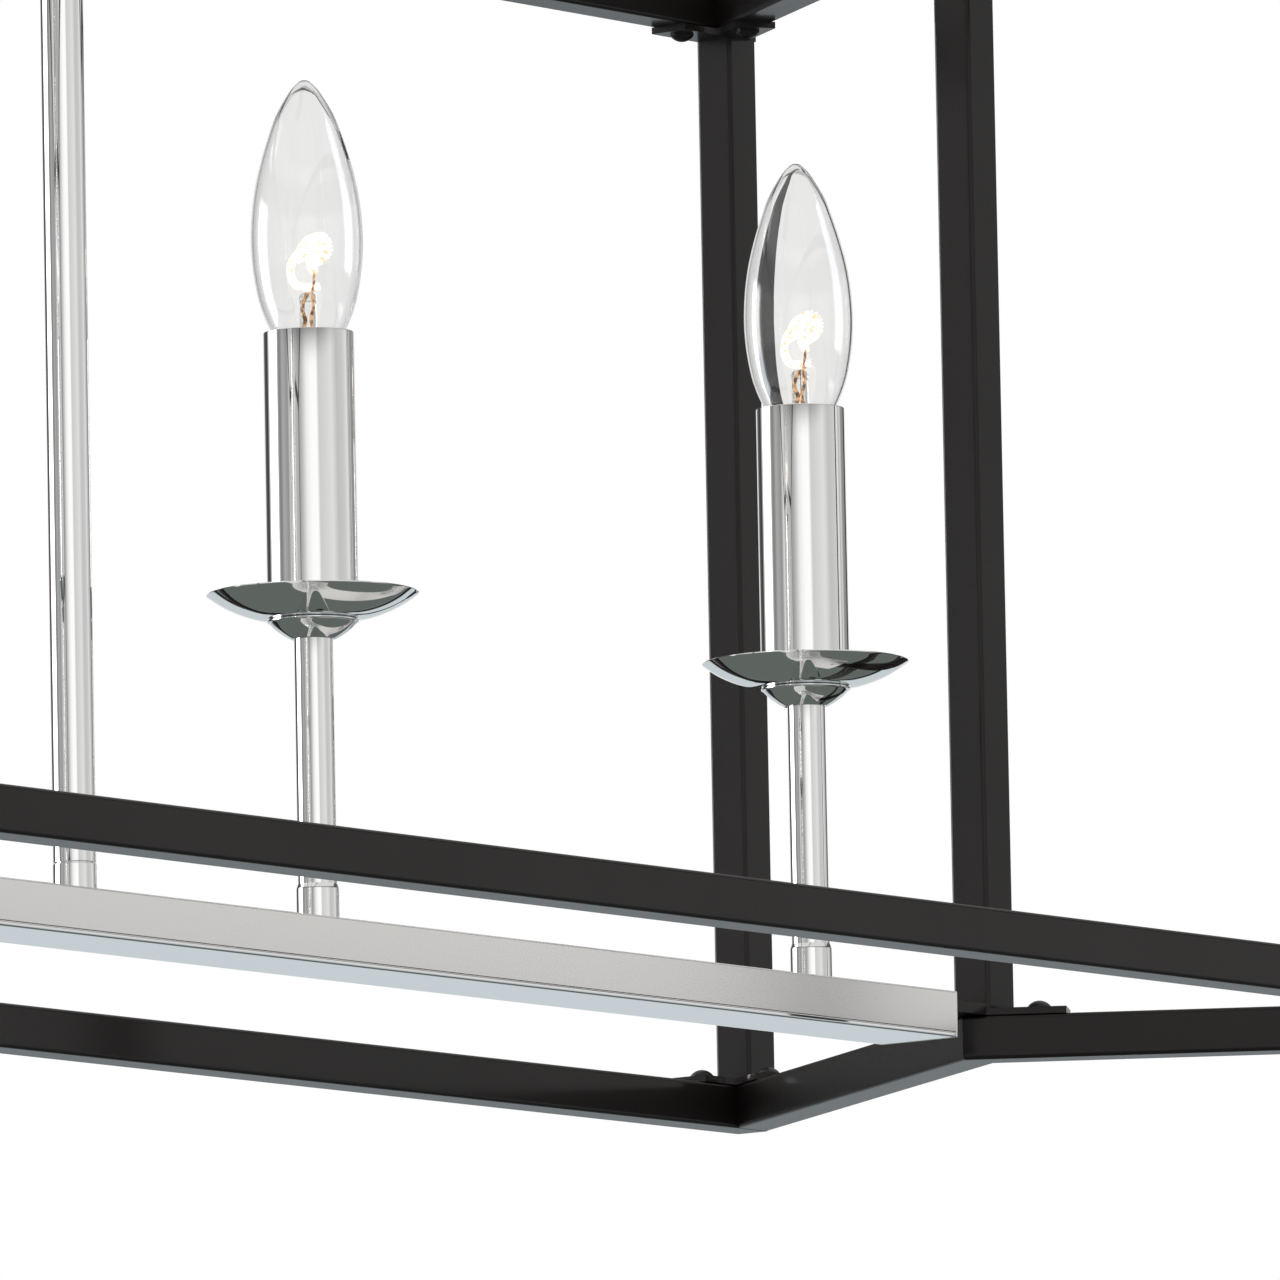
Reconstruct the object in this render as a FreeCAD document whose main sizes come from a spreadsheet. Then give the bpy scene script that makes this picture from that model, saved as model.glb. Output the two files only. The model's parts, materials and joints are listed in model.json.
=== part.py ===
import FreeCAD, Part
import Sketcher
import math
import os

# Linear island pendant, in millimetres, +Z up. The origin is the ceiling: the middle of the top face of
# the mounting bar. The fixture hangs below it. X runs along the fixture, and it is alike on both sides
# of X = 0 and of Y = 0, so one quarter of the cage is built and mirrored.

os.makedirs("parts", exist_ok=True)
doc = FreeCAD.newDocument("IslandPendant")

SIZES = {
    # cage of square tube with a V-shaped notch in each end
    "tube": 13.0, "tube_wall": 1.2, "tube_round": 1.2, "mitre_gap": 0.04,
    "cage_width": 356.0, "cage_height": 348.0, "prow_reach": 529.0, "notch_depth": 107.0,
    "corner_post_offset": 1.0, "prow_post_offset": 3.0,
    # bracket plates welded to the post ends, and their screws in rivet nuts
    "plate": 2.0, "corner_leg": 28.0, "corner_screw": 21.5, "prow_leg": 26.5, "prow_screw": 18.0,
    "screw_shank": 4.0, "screw_length": 9.0, "screw_head": 7.0, "dome_height": 2.4, "head_edge": 0.6,
    "screw_gap": 0.25, "rivet_body": 6.4, "rivet_bulge": 8.6, "rivet_length": 9.6, "bulge_height": 1.5,
    # wiring bar: a channel over a bottom cover, with an end cap at each end
    "wiring_width": 28.0, "wiring_height": 13.5, "prow_gap": 28.0, "wiring_lift": 4.0,
    "sheet_wall": 1.2, "sheet_round": 0.6, "cover_sheet": 1.7, "lip_height": 3.0, "end_cap": 1.0,
    "tongue_width": 12.0, "tongue_overlap": 22.0, "slip_gap": 0.2,
    # candles: five of them, the end ones a margin in from the bar's ends
    "candle_margin": 51.0, "nipple_size": 9.5, "nipple_bore": 7.0, "nipple_end": 2.0, "nut_flats": 14.0,
    "nut_height": 3.0, "collar_size": 12.1, "collar_height": 11.0, "collar_shoulder": 1.4,
    "collar_seat": 4.5, "collar_edge": 0.35, "stem_size": 11.0, "stem_wall": 0.6, "stem_top": 80.4,
    "cup_size": 25.9, "cup_height": 5.5, "cup_foot": 12.4, "cup_sheet": 0.9, "cup_lip": 0.9,
    "cup_neck": 0.4, "cup_edge": 0.2, "dish_size": 60.2, "dish_height": 7.2, "dish_sheet": 0.9,
    "dish_sag": 1.2, "dish_step": 0.6, "dish_edge": 0.35,
    "sleeve_size": 25.8, "sleeve_wall": 0.8, "sleeve_height": 80.7,
    "socket_size": 18.6, "socket_height": 62.0, "socket_lift": 11.0, "socket_grip": 7.0,
    "socket_taper": 2.5, "socket_foot": 4.0, "socket_edge": 1.0, "mouth_edge": 0.8,
    "shell_size": 12.8, "shell_wall": 0.3, "shell_height": 18.0, "shell_drop": 1.0, "pocket_depth": 24.0,
    "spring_height": 1.4, "spring_size": 6.0, "spring_sheet": 0.4, "spring_pad": 4.0,
    # candelabra bulbs
    "base_size": 11.9, "base_wall": 0.6, "base_height": 20.0, "thread_pitch": 2.54, "thread_depth": 0.5,
    "thread_start": 3.3, "insulator_height": 3.0, "insulator_edge": 0.6, "insulator_depth": 4.5,
    "contact_size": 4.4, "contact_height": 1.6, "contact_gap": 0.2,
    "bulb_size": 31.75, "glass_height": 80.6, "glass_wall": 0.7, "glass_gap": 0.05,
    "neck_size": 11.0, "neck_tuck": 2.75, "neck_flare": 0.4, "neck_rise": 0.6,
    "mount_size": 5.0, "mount_height": 20.0, "mount_flare": 9.0, "mount_edge": 0.6,
    "wire_size": 0.5, "filament_span": 7.0, "filament_lift": 31.0,
    # two hanging rods, each in two lengths on a ball that hangs them plumb
    "rod_spacing": 238.0, "rod_size": 12.0, "rod_wall": 1.1, "rod_collar": 12.2, "rod_collar_height": 8.7,
    "shadow_gap": 0.4, "lower_rod": 342.0, "upper_rod": 305.0, "joiner_length": 30.0,
    "ball_size": 18.0, "ball_drop": 22.0, "ball_clearance": 0.05, "ball_flat": 6.5, "rod_drop": 12.0,
    "neck_grip": 10.0, "seat_size": 22.0, "seat_drop": 7.0, "seat_mouth": 15.2, "seat_flange": 30.0,
    "seat_top": 1.5, "seat_flare": 0.9, "seat_edge": 1.2, "flange_sheet": 1.5, "foot_step": 0.5,
    # ceiling canopy on its mounting bar
    "canopy_length": 320.0, "canopy_width": 115.0, "canopy_depth": 25.0, "canopy_sheet": 1.0,
    "canopy_round": 6.0, "bar_length": 270.0, "bar_width": 25.0, "bar_sheet": 2.0,
    "box_spacing": 88.9, "slot_length": 14.0, "slot_width": 4.8, "stud_spacing": 160.0, "stud_size": 5.0,
    "stud_nut_flats": 8.0, "stud_nut_height": 4.0, "knob_size": 14.0, "knob_height": 9.0, "knob_crown": 4.0,
    "stud_hole_gap": 0.5, "knob_bore_gap": 0.1, "lead_hole": 12.0,
}


class Size:
    """A length with the sheet expression that it comes from."""

    def __init__(self, value, text):
        self.value, self.text = value, text

    def __add__(self, other):
        other = sized(other)
        return Size(self.value + other.value, f"({self.text} + {other.text})")

    def __sub__(self, other):
        other = sized(other)
        return Size(self.value - other.value, f"({self.text} - {other.text})")

    def __mul__(self, other):
        other = sized(other)
        return Size(self.value * other.value, f"({self.text} * {other.text})")

    def __truediv__(self, other):
        other = sized(other)
        return Size(self.value / other.value, f"({self.text} / {other.text})")

    def __radd__(self, other):
        return sized(other) + self

    def __rsub__(self, other):
        return sized(other) - self

    def __rmul__(self, other):
        return sized(other) * self

    def __neg__(self):
        return Size(-self.value, f"(0 - {self.text})")


def sized(number):
    return number if isinstance(number, Size) else Size(float(number), f"({float(number)!r})")


def root(size):
    return Size(math.sqrt(size.value), f"sqrt({size.text})")


def angle_of(rise, run, turn=0):
    """The angle in degrees of a line that rises by rise over run, plus a fixed turn."""
    value = math.degrees(math.atan(rise.value / run.value)) + turn
    return Size(value, f"(atan({rise.text} / {run.text}) + {float(turn)} deg)")


sheet = doc.addObject("Spreadsheet::Sheet", "Sizes")
for row, (alias, number) in enumerate(SIZES.items(), start=1):
    sheet.set(f"A{row}", alias)
    sheet.set(f"B{row}", str(number))
    sheet.setAlias(f"B{row}", alias)
doc.recompute()
S = {alias: Size(number, f"Sizes.{alias}") for alias, number in SIZES.items()}


PAST = 1.0          # how far a cut runs past the face that it opens, in millimetres
THREAD_TURNS = 5    # ridges on the screw base of a bulb


# ---- helpers -------------------------------------------------------------------------------------------

def bind(thing, prop, size):
    size = sized(size)
    if not prop.startswith("."):
        setattr(thing, prop, size.value)
    thing.setExpression(prop, size.text)


def place(thing, x=0, y=0, z=0):
    thing.Placement.Base = FreeCAD.Vector(*(sized(number).value for number in (x, y, z)))
    for letter, number in zip("xyz", (x, y, z)):
        bind(thing, f".Placement.Base.{letter}", number)
    return thing


def block(name, x, y, z):
    """A box between two planes along each axis."""
    solid = doc.addObject("Part::Box", name)
    for side, (low, high) in zip(("Length", "Width", "Height"), (x, y, z)):
        bind(solid, side, sized(high) - low)
    return place(solid, x[0], y[0], z[0])


def pin(name, size, z, x=0, y=0):
    """A round bar of one diameter along Z."""
    solid = doc.addObject("Part::Cylinder", name)
    bind(solid, "Radius", size / 2)
    bind(solid, "Height", sized(z[1]) - z[0])
    return place(solid, x, y, z[0])


def hexagon(name, flats, z, x=0, y=0):
    """A six-sided bar along Z, measured across its flats."""
    solid = doc.addObject("Part::Prism", name)
    solid.Polygon = 6
    bind(solid, "Circumradius", flats / math.sqrt(3))
    bind(solid, "Height", sized(z[1]) - z[0])
    return place(solid, x, y, z[0])


def cut(name, base, *tools):
    solid = doc.addObject("Part::Cut", name)
    solid.Base = base
    solid.Tool = tools[0] if len(tools) == 1 else group(name + "_tools", *tools)
    return solid


def joined(name, *pieces):
    solid = doc.addObject("Part::MultiFuse", name)
    solid.Shapes = list(pieces)
    solid.Refine = True
    return solid


def common(name, first, second):
    solid = doc.addObject("Part::MultiCommon", name)
    solid.Shapes = [first, second]
    return solid


def group(name, *pieces):
    """Separate solids in one object."""
    several = doc.addObject("Part::Compound", name)
    several.Links = list(pieces)
    return several


def copy(name, source, x=0, y=0, z=0, turn=0):
    """The source moved, and turned about Z by a fixed number of degrees."""
    moved = group(name, source)
    moved.Placement.Rotation = FreeCAD.Rotation(FreeCAD.Vector(0, 0, 1), turn)
    return place(moved, x, y, z)


def mirrored(name, source, normal, height=0):
    """The source mirrored in the plane with this normal, at this height for a level plane."""
    mirror = doc.addObject("Part::Mirroring", name)
    mirror.Source = source
    mirror.Normal = FreeCAD.Vector(*normal)
    bind(mirror, ".Base.z", height)
    return mirror


def sketch_on(body, plane, name):
    sketch = body.newObject("Sketcher::SketchObject", name)
    origin_plane = next(item for item in body.Origin.OriginFeatures if item.Role == plane)
    sketch.AttachmentSupport = (origin_plane, [""])
    sketch.MapMode = "FlatFace"
    return sketch


def fix_point(sketch, geometry, end, point):
    """Hold one end of a sketch element at its distances from the sketch's origin."""
    for kind, number in zip(("DistanceX", "DistanceY"), point):
        number = sized(number)
        index = sketch.addConstraint(Sketcher.Constraint(kind, -1, 1, geometry, end, number.value))
        sketch.setExpression(f"Constraints[{index}]", number.text)


def draw(sketch, outline):
    """A closed outline. A point marked "via" is the middle of an arc between its two neighbours."""
    def vector(point):
        return FreeCAD.Vector(sized(point[0]).value, sized(point[1]).value, 0)

    corners = [place_in for place_in, point in enumerate(outline) if len(point) == 2]
    for here, there in zip(corners, corners[1:] + [corners[0] + len(outline)]):
        start, end = outline[here], outline[there % len(outline)]
        if there - here == 1:
            line = sketch.addGeometry(Part.LineSegment(vector(start), vector(end)))
            fix_point(sketch, line, 1, start)
            fix_point(sketch, line, 2, end)
        else:
            middle = outline[here + 1][:2]
            arc = sketch.addGeometry(Part.Arc(vector(start), vector(middle), vector(end)))
            first = sketch.getPoint(arc, 1)
            swapped = (first - vector(start)).Length > (first - vector(end)).Length
            fix_point(sketch, arc, 2 if swapped else 1, start)
            fix_point(sketch, arc, 1 if swapped else 2, end)
            peg = sketch.addGeometry(Part.Point(vector(middle)), True)
            fix_point(sketch, peg, 1, middle)
            sketch.addConstraint(Sketcher.Constraint("PointOnObject", peg, 1, arc))
    return sketch


def dome(edge, low, high):
    """A round cap in an outline, from (edge, low) to (0, high) on the axis."""
    rise = high - low
    radius = (edge * edge + rise * rise) / (rise * 2)
    beside = edge * 0.55
    drop = root(radius * radius - beside * beside) * (1 if rise.value > 0 else -1)
    return [(edge, low), (beside, high - radius + drop, "via"), (0, high)]


def turned(name, outline):
    """A piece turned about Z, from its outline of (radius, height) points."""
    body = doc.addObject("PartDesign::Body", name)
    profile = draw(sketch_on(body, "XZ_Plane", name + "_profile"), outline)
    turning = body.newObject("PartDesign::Revolution", name + "_turning")
    turning.Profile = profile
    turning.ReferenceAxis = (profile, ["V_Axis"])
    turning.Angle = 360
    body.Tip = turning
    return body


def rounded(body, feature, size, chosen):
    """Round the edges of a feature that the chosen test picks."""
    doc.recompute()
    edges = [f"Edge{place_in + 1}" for place_in, edge in enumerate(feature.Shape.Edges) if chosen(edge)]
    rounding = body.newObject("PartDesign::Fillet", feature.Name + "_round")
    rounding.Base = (feature, edges)
    bind(rounding, "Radius", size)
    body.Tip = rounding
    return body


def runs_along_x(edge):
    return abs(edge.tangentAt(edge.FirstParameter).x) > 0.99


def tube(name, length):
    """Square tube along X from the origin, centred on its own line."""
    half, bore = S["tube"] / 2, S["tube"] / 2 - S["tube_wall"]
    body = doc.addObject("PartDesign::Body", name)
    section = sketch_on(body, "YZ_Plane", name + "_section")
    for edge in (half, bore):
        draw(section, [(-edge, -edge), (edge, -edge), (edge, edge), (-edge, edge)])
    pad = body.newObject("PartDesign::Pad", name + "_pad")
    pad.Profile = section
    bind(pad, "Length", length)
    reach = SIZES["tube"] / 2 - 0.01
    return rounded(body, pad, S["tube_round"], lambda edge: runs_along_x(edge)
                   and min(abs(edge.CenterOfMass.y), abs(edge.CenterOfMass.z)) > reach)


def node(name, shape):
    """Name a finished sub-part."""
    shape.Label = name
    NODES[name] = shape
    return shape


NODES = {}

# ---- heights and places that several pieces share ------------------------------------------------------

ball_z = -S["ball_drop"]
upper_rod_top = ball_z - S["rod_drop"]
lower_rod_top = upper_rod_top - S["upper_rod"]
rod_collar_top = lower_rod_top - S["lower_rod"] - S["shadow_gap"]
bar_top = rod_collar_top - S["rod_collar_height"]
bar_bottom = bar_top - S["wiring_height"]
floor = bar_bottom - S["wiring_lift"]
rail_top = floor + S["tube"]
plate_top = rail_top + S["plate"]
cage_middle = floor + S["cage_height"] / 2
half_tube = S["tube"] / 2
rail_line = S["cage_width"] / 2 - half_tube
corner = S["prow_reach"] + S["notch_depth"]
notch_run = root(S["notch_depth"] * S["notch_depth"] + rail_line * rail_line)
along, across = S["notch_depth"] / notch_run, rail_line / notch_run
rail_reach = (S["prow_reach"] + half_tube / across
              + S["notch_depth"] / rail_line * (rail_line - half_tube))
corner_post_x = corner + S["corner_post_offset"]
prow_post_x = S["prow_reach"] + S["prow_post_offset"]
wiring_reach = S["prow_reach"] - S["prow_gap"]
candle_pitch = (wiring_reach - S["candle_margin"]) / 2
candle_places = [candle_pitch * step for step in (-2, -1, 0, 1, 2)]
rod_places = [-S["rod_spacing"] / 2, S["rod_spacing"] / 2]
stud_places = [-S["stud_spacing"] / 2, S["stud_spacing"] / 2]

# Screw places in the back right quarter: on the long rail, on the notch rail by the corner, by the prow.
SCREW_PLACES = [
    (corner_post_x - S["corner_screw"], rail_line),
    (corner - S["corner_screw"] * along, rail_line - S["corner_screw"] * across),
    (S["prow_reach"] + S["prow_screw"] * along, S["prow_screw"] * across),
]


def all_round(name, source):
    """The piece of the back right quarter with its three mirror images."""
    right = group(name + "_right", source, mirrored(name + "_front", source, (0, 1, 0)))
    return group(name, right, copy(name + "_left", right, turn=180))


def in_top_frame(name, source):
    return mirrored(name, source, (0, 0, 1), cage_middle)


# ---- cage: rails, notches and posts --------------------------------------------------------------------

def rivet_nut():
    """Upset nut in the wall of a tube, flush with the rail's face. Height 0 is that face."""
    bore, body, bulge = S["screw_shank"] / 2 + S["screw_gap"], S["rivet_body"] / 2, S["rivet_bulge"] / 2
    low, under = -S["rivet_length"], -S["tube_wall"]
    return turned("rivet_nut", [
        (bore, 0), (bore, low), (body, low), (body, under - S["bulge_height"]),
        (bulge, under - S["bulge_height"] / 2), (body, under), (body, 0)])


def dome_screw():
    """Domed machine screw. Height 0 is the face under its head."""
    shank, head = S["screw_shank"] / 2, S["screw_head"] / 2
    return turned("dome_screw", [
        (0, -S["screw_length"]), (shank, -S["screw_length"]), (shank, 0), (head, 0),
        *dome(head, S["head_edge"], S["dome_height"])])


nut, screw = rivet_nut(), dome_screw()
quarter_nuts = group("quarter_nuts", *(
    copy(f"nut_at_{index}", nut, x, y, rail_top) for index, (x, y) in enumerate(SCREW_PLACES)))
quarter_screws = group("quarter_screws", *(
    copy(f"screw_at_{index}", screw, x, y, plate_top) for index, (x, y) in enumerate(SCREW_PLACES)))
quarter_holes = group("quarter_holes", *(
    pin(f"hole_at_{index}", S["rivet_body"],
        (rail_top - S["tube_wall"] * 2, rail_top + S["tube_wall"]), x, y)
    for index, (x, y) in enumerate(SCREW_PLACES)))
rail_holes = all_round("rail_holes", quarter_holes)

long_rail = tube("long_rail", rail_reach * 2)
for side, sign in (("front", -1), ("back", 1)):
    rail = copy(f"long_rail_{side}", long_rail, -rail_reach, rail_line * sign, floor + half_tube)
    drilled = node(f"bottom_rail_{side}", cut(f"bottom_rail_{side}", rail, rail_holes))
    node(f"top_rail_{side}", in_top_frame(f"top_rail_{side}", drilled))

# A notch rail runs from the prow to the long rail, mitred on the middle plane and butted on the rail.
spare = S["tube"] * 2
notch_stock = tube("notch_stock", notch_run + spare * 2)
place(notch_stock, S["prow_reach"] - spare * along, -spare * across, floor + half_tube)
notch_stock.Placement.Rotation = FreeCAD.Rotation(FreeCAD.Vector(0, 0, 1), 45)
bind(notch_stock, ".Placement.Rotation.Angle", angle_of(rail_line, S["notch_depth"]))
trim = block("notch_trim", (0, corner + spare * 2), (S["mitre_gap"] / 2, rail_line - half_tube),
             (floor - PAST, rail_top + PAST))
notch_rail = cut("notch_rail", common("notch_trimmed", notch_stock, trim), quarter_holes)
notch_right = group("notch_pair", notch_rail, mirrored("notch_rail_front", notch_rail, (0, 1, 0)))
for side, turn in (("right", 0), ("left", 180)):
    pair = node(f"bottom_notch_{side}", copy(f"bottom_notch_{side}", notch_right, turn=turn))
    node(f"top_notch_{side}", in_top_frame(f"top_notch_{side}", pair))

post_height = S["cage_height"] - (S["tube"] + S["plate"]) * 2
post = tube("post_stock", post_height)
post.Placement.Rotation = FreeCAD.Rotation(FreeCAD.Vector(0, 1, 0), -90)
node("prow_posts", group("prow_posts", *(
    copy(f"prow_post_{index}", post, prow_post_x * x, 0, plate_top) for index, x in enumerate((-1, 1)))))
node("corner_posts", group("corner_posts", *(
    copy(f"corner_post_{index}", post, corner_post_x * x, rail_line * y, plate_top)
    for index, (x, y) in enumerate(((-1, -1), (1, -1), (-1, 1), (1, 1))))))


# ---- brackets ------------------------------------------------------------------------------------------

def leg(name, length, x, y, sign):
    """A plate leg from (x, y) along the notch rail, outward for sign 1 and towards the prow for -1."""
    strip = doc.addObject("Part::Box", name)
    for side, number in (("Length", length), ("Width", S["tube"]), ("Height", S["plate"])):
        bind(strip, side, number)
    place(strip, x + half_tube * across * sign, y - half_tube * along * sign, rail_top)
    strip.Placement.Rotation = FreeCAD.Rotation(FreeCAD.Vector(0, 0, 1), 45)
    bind(strip, ".Placement.Rotation.Angle",
         angle_of(rail_line, S["notch_depth"], 0 if sign == 1 else 180))
    return strip


screw_holes = all_round("screw_holes", group("quarter_screw_holes", *(
    pin(f"screw_hole_{index}", S["screw_shank"] + S["screw_gap"] * 2,
        (rail_top - PAST, plate_top + PAST), x, y)
    for index, (x, y) in enumerate(SCREW_PLACES))))

corner_plate = joined(
    "corner_plate",
    block("corner_plate_foot", (corner_post_x - S["corner_leg"], corner_post_x + half_tube),
          (rail_line - half_tube, rail_line + half_tube), (rail_top, plate_top)),
    leg("corner_plate_leg", S["corner_leg"], corner, rail_line, -1))
prow_leg = leg("prow_plate_leg", S["prow_leg"], S["prow_reach"], sized(0), 1)
prow_plate = joined(
    "prow_plate", prow_leg, mirrored("prow_plate_leg_front", prow_leg, (0, 1, 0)),
    block("prow_plate_foot", (prow_post_x - half_tube, prow_post_x + half_tube),
          (-half_tube, half_tube), (rail_top, plate_top)))
prow_plates = group("prow_plates", prow_plate, copy("prow_plate_left", prow_plate, turn=180))
corner_plates = all_round("corner_plates", corner_plate)
for name, bottom in (
        ("corner_brackets", cut("drilled_corner_plates", corner_plates, screw_holes)),
        ("prow_brackets", cut("drilled_prow_plates", prow_plates, screw_holes)),
        ("bracket_screws", all_round("bottom_bracket_screws", quarter_screws)),
        ("rivet_nuts", all_round("bottom_rivet_nuts", quarter_nuts))):
    node(name, group(name, bottom, in_top_frame("top_" + name, bottom)))


# ---- wiring bar ----------------------------------------------------------------------------------------

half_bar = S["wiring_width"] / 2
shell_reach = wiring_reach - S["end_cap"]
channel_bottom = bar_bottom + S["cover_sheet"]
nipple_hole = S["nipple_size"] + S["slip_gap"]
tongue_top = bar_top - S["sheet_wall"]
tongue_screw_x = wiring_reach - S["tongue_overlap"] / 2
bar_holes = group("bar_holes", *(
    pin(f"bar_hole_{index}", nipple_hole, (bar_top - S["sheet_wall"] * 2, bar_top + S["sheet_wall"]), x)
    for index, x in enumerate(candle_places + rod_places)), *(
    pin(f"bar_screw_hole_{index}", S["screw_shank"] + S["slip_gap"] / 2,
        (bar_top - S["sheet_wall"] * 2, bar_top + S["sheet_wall"]), tongue_screw_x * sign)
    for index, sign in enumerate((-1, 1))))


def channel():
    """Folded channel, open below, along X from the origin. Height 0 is its top face."""
    wall, foot = S["sheet_wall"], channel_bottom - bar_top
    inner = half_bar - wall
    body = doc.addObject("PartDesign::Body", "channel")
    section = draw(sketch_on(body, "YZ_Plane", "channel_section"), [
        (-half_bar, foot), (-half_bar, 0), (half_bar, 0), (half_bar, foot),
        (inner, foot), (inner, -wall), (-inner, -wall), (-inner, foot)])
    pad = body.newObject("PartDesign::Pad", "channel_pad")
    pad.Profile = section
    bind(pad, "Length", shell_reach * 2)
    return rounded(body, pad, S["sheet_round"], lambda edge: runs_along_x(edge)
                   and abs(edge.CenterOfMass.z) < 0.01)


placed_channel = copy("placed_channel", channel(), -shell_reach, 0, bar_top)
node("wiring_bar", cut("wiring_bar", placed_channel, bar_holes))

# The cover is as wide as the channel, and two lips on it slip inside the channel's walls.
lip_outer = half_bar - S["sheet_wall"] - S["slip_gap"]
lip_inner = lip_outer - S["sheet_wall"]
lips = [block(f"cover_lip_{side}", (-shell_reach, shell_reach), span,
              (bar_bottom, channel_bottom + S["lip_height"]))
        for side, span in (("front", (-lip_outer, -lip_inner)), ("back", (lip_inner, lip_outer)))]
cover_plate = block("cover_plate", (-shell_reach, shell_reach), (-half_bar, half_bar),
                    (bar_bottom, channel_bottom))
node("bar_cover", joined("bar_cover", cover_plate, *lips))

half_tongue = S["tongue_width"] / 2
cap_plate = block("cap_plate", (shell_reach, wiring_reach), (-half_bar, half_bar), (bar_bottom, bar_top))
cap_slot = block("cap_slot", (shell_reach - PAST, wiring_reach + PAST),
                 (-half_tongue - S["slip_gap"], half_tongue + S["slip_gap"]),
                 (rail_top - S["slip_gap"], tongue_top + S["slip_gap"]))
end_cap = cut("end_cap", cap_plate, cap_slot)
node("bar_end_caps", group("bar_end_caps", end_cap, copy("end_cap_left", end_cap, turn=180)))

# A flat tongue lies on each prow, runs into the bar's end under its top wall and is screwed there.
tongue_stock = block("tongue_stock", (wiring_reach - S["tongue_overlap"], prow_post_x - half_tube),
                     (-half_tongue, half_tongue), (rail_top, tongue_top))
tongue_hole = pin("tongue_hole", S["screw_shank"] + S["screw_gap"] * 2,
                  (rail_top - PAST, tongue_top + PAST), tongue_screw_x)
tongue = cut("tongue", tongue_stock, prow_plate, tongue_hole)
node("bar_tongues", group("bar_tongues", tongue, copy("tongue_left", tongue, turn=180)))

tongue_screw = turned("tongue_screw", [
    (S["screw_head"] / 2, 0), (S["screw_shank"] / 2, 0), (S["screw_shank"] / 2, bar_top - rail_top),
    (0, bar_top - rail_top), *reversed(dome(S["screw_head"] / 2, -S["head_edge"], -S["dome_height"]))])
node("bar_screws", group("bar_screws", *(
    copy(f"bar_screw_{sign}", tongue_screw, tongue_screw_x * sign, 0, rail_top) for sign in (-1, 1))))


# ---- candles -------------------------------------------------------------------------------------------

def at_candles(name, source):
    """Five of the piece, one at each candle. The piece's height 0 is the top of the wiring bar."""
    return node(name, group(name, *(
        copy(f"{name}_{number}", source, x, 0, bar_top)
        for number, x in enumerate(candle_places, start=1))))


def pipe(outer, inner, low, high):
    """Outline of a plain pipe."""
    return [(inner / 2, low), (outer / 2, low), (outer / 2, high), (inner / 2, high)]


stem_bore = S["stem_size"] - S["stem_wall"] * 2
cup_top = S["stem_top"] + S["cup_height"]
dish_floor = cup_top + S["dish_sheet"]
socket_bottom = dish_floor + S["socket_lift"]
socket_top = socket_bottom + S["socket_height"]
pocket_floor = socket_top - S["pocket_depth"]
base_bottom = pocket_floor + S["spring_height"] + S["contact_gap"] + S["contact_height"]
base_top = base_bottom + S["base_height"]
neck_seat = S["base_size"] / 2 - S["thread_depth"] - S["base_wall"] - S["glass_gap"]
neck_foot = base_top - S["neck_tuck"]
nut_low = -S["sheet_wall"] - S["nut_height"]


def candle_collar():
    """Round seat for the stem, with a sloping shoulder."""
    outer, hole, seat = S["collar_size"] / 2, nipple_hole / 2, (S["stem_size"] + S["slip_gap"] / 2) / 2
    low, high, edge = S["collar_height"] - S["collar_seat"], S["collar_height"], S["collar_edge"]
    return turned("candle_collar", [
        (hole, 0), (outer, 0), (outer, high - S["collar_shoulder"]), (outer - edge / 2, high - edge, "via"),
        (seat + edge / 3, high), (seat, high), (seat, low), (hole, low)])


def bowed(start, middle, end, arcs):
    """Short arcs along the smooth curve through three points, with both of its ends."""
    line = [start]
    for step in range(1, arcs * 2 + 1):
        t = step / (arcs * 2)
        shares = ((1 - t) * (1 - 2 * t), 4 * t * (1 - t), t * (2 * t - 1))
        spot = tuple(start[axis] * shares[0] + middle[axis] * shares[1] + end[axis] * shares[2]
                     for axis in (0, 1))
        line.append(spot + (("via",) if step % 2 else ()))
    return line


def candle_cup():
    """Small bowl on the stem, with an upright lip."""
    hole, foot, rim = nipple_hole / 2, S["cup_foot"] / 2, S["cup_size"] / 2
    low, high, gauge, edge = S["stem_top"], cup_top, S["cup_sheet"], S["cup_edge"]
    lip = high - S["cup_lip"]
    belly = ((foot + rim) * 0.54, low + (lip - low) * 0.42)
    return turned("candle_cup", [
        (hole, low), (foot, low), belly + ("via",), (rim - S["cup_neck"], lip), (rim, lip + edge),
        (rim, high - edge), (rim - edge, high), (hole, high), (hole, high - gauge),
        (rim - gauge * 2, high - gauge), (belly[0] - gauge * 0.8, belly[1] + gauge * 0.75, "via"),
        (foot, low + gauge), (hole, low + gauge)])


def candle_dish():
    """Shallow dish on the cup, hollow above, with a thin rim."""
    hole, foot, rim = nipple_hole / 2, S["cup_size"] / 2 - S["dish_step"], S["dish_size"] / 2
    low, gauge, edge = cup_top, S["dish_sheet"], S["dish_edge"]
    high = low + S["dish_height"]
    middle, sag = (foot + rim) / 2, (low + high) / 2 - S["dish_sag"]
    sleeve_edge = S["sleeve_size"] / 2 + S["slip_gap"]
    under = bowed((foot, low), (middle, sag), (rim, high - edge), 3)
    upper = bowed((rim - edge, high), (middle - gauge * 0.35, sag + gauge), (sleeve_edge, low + gauge), 3)
    return turned("candle_dish", [(hole, low), *under, *upper, (hole, low + gauge)])


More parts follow.
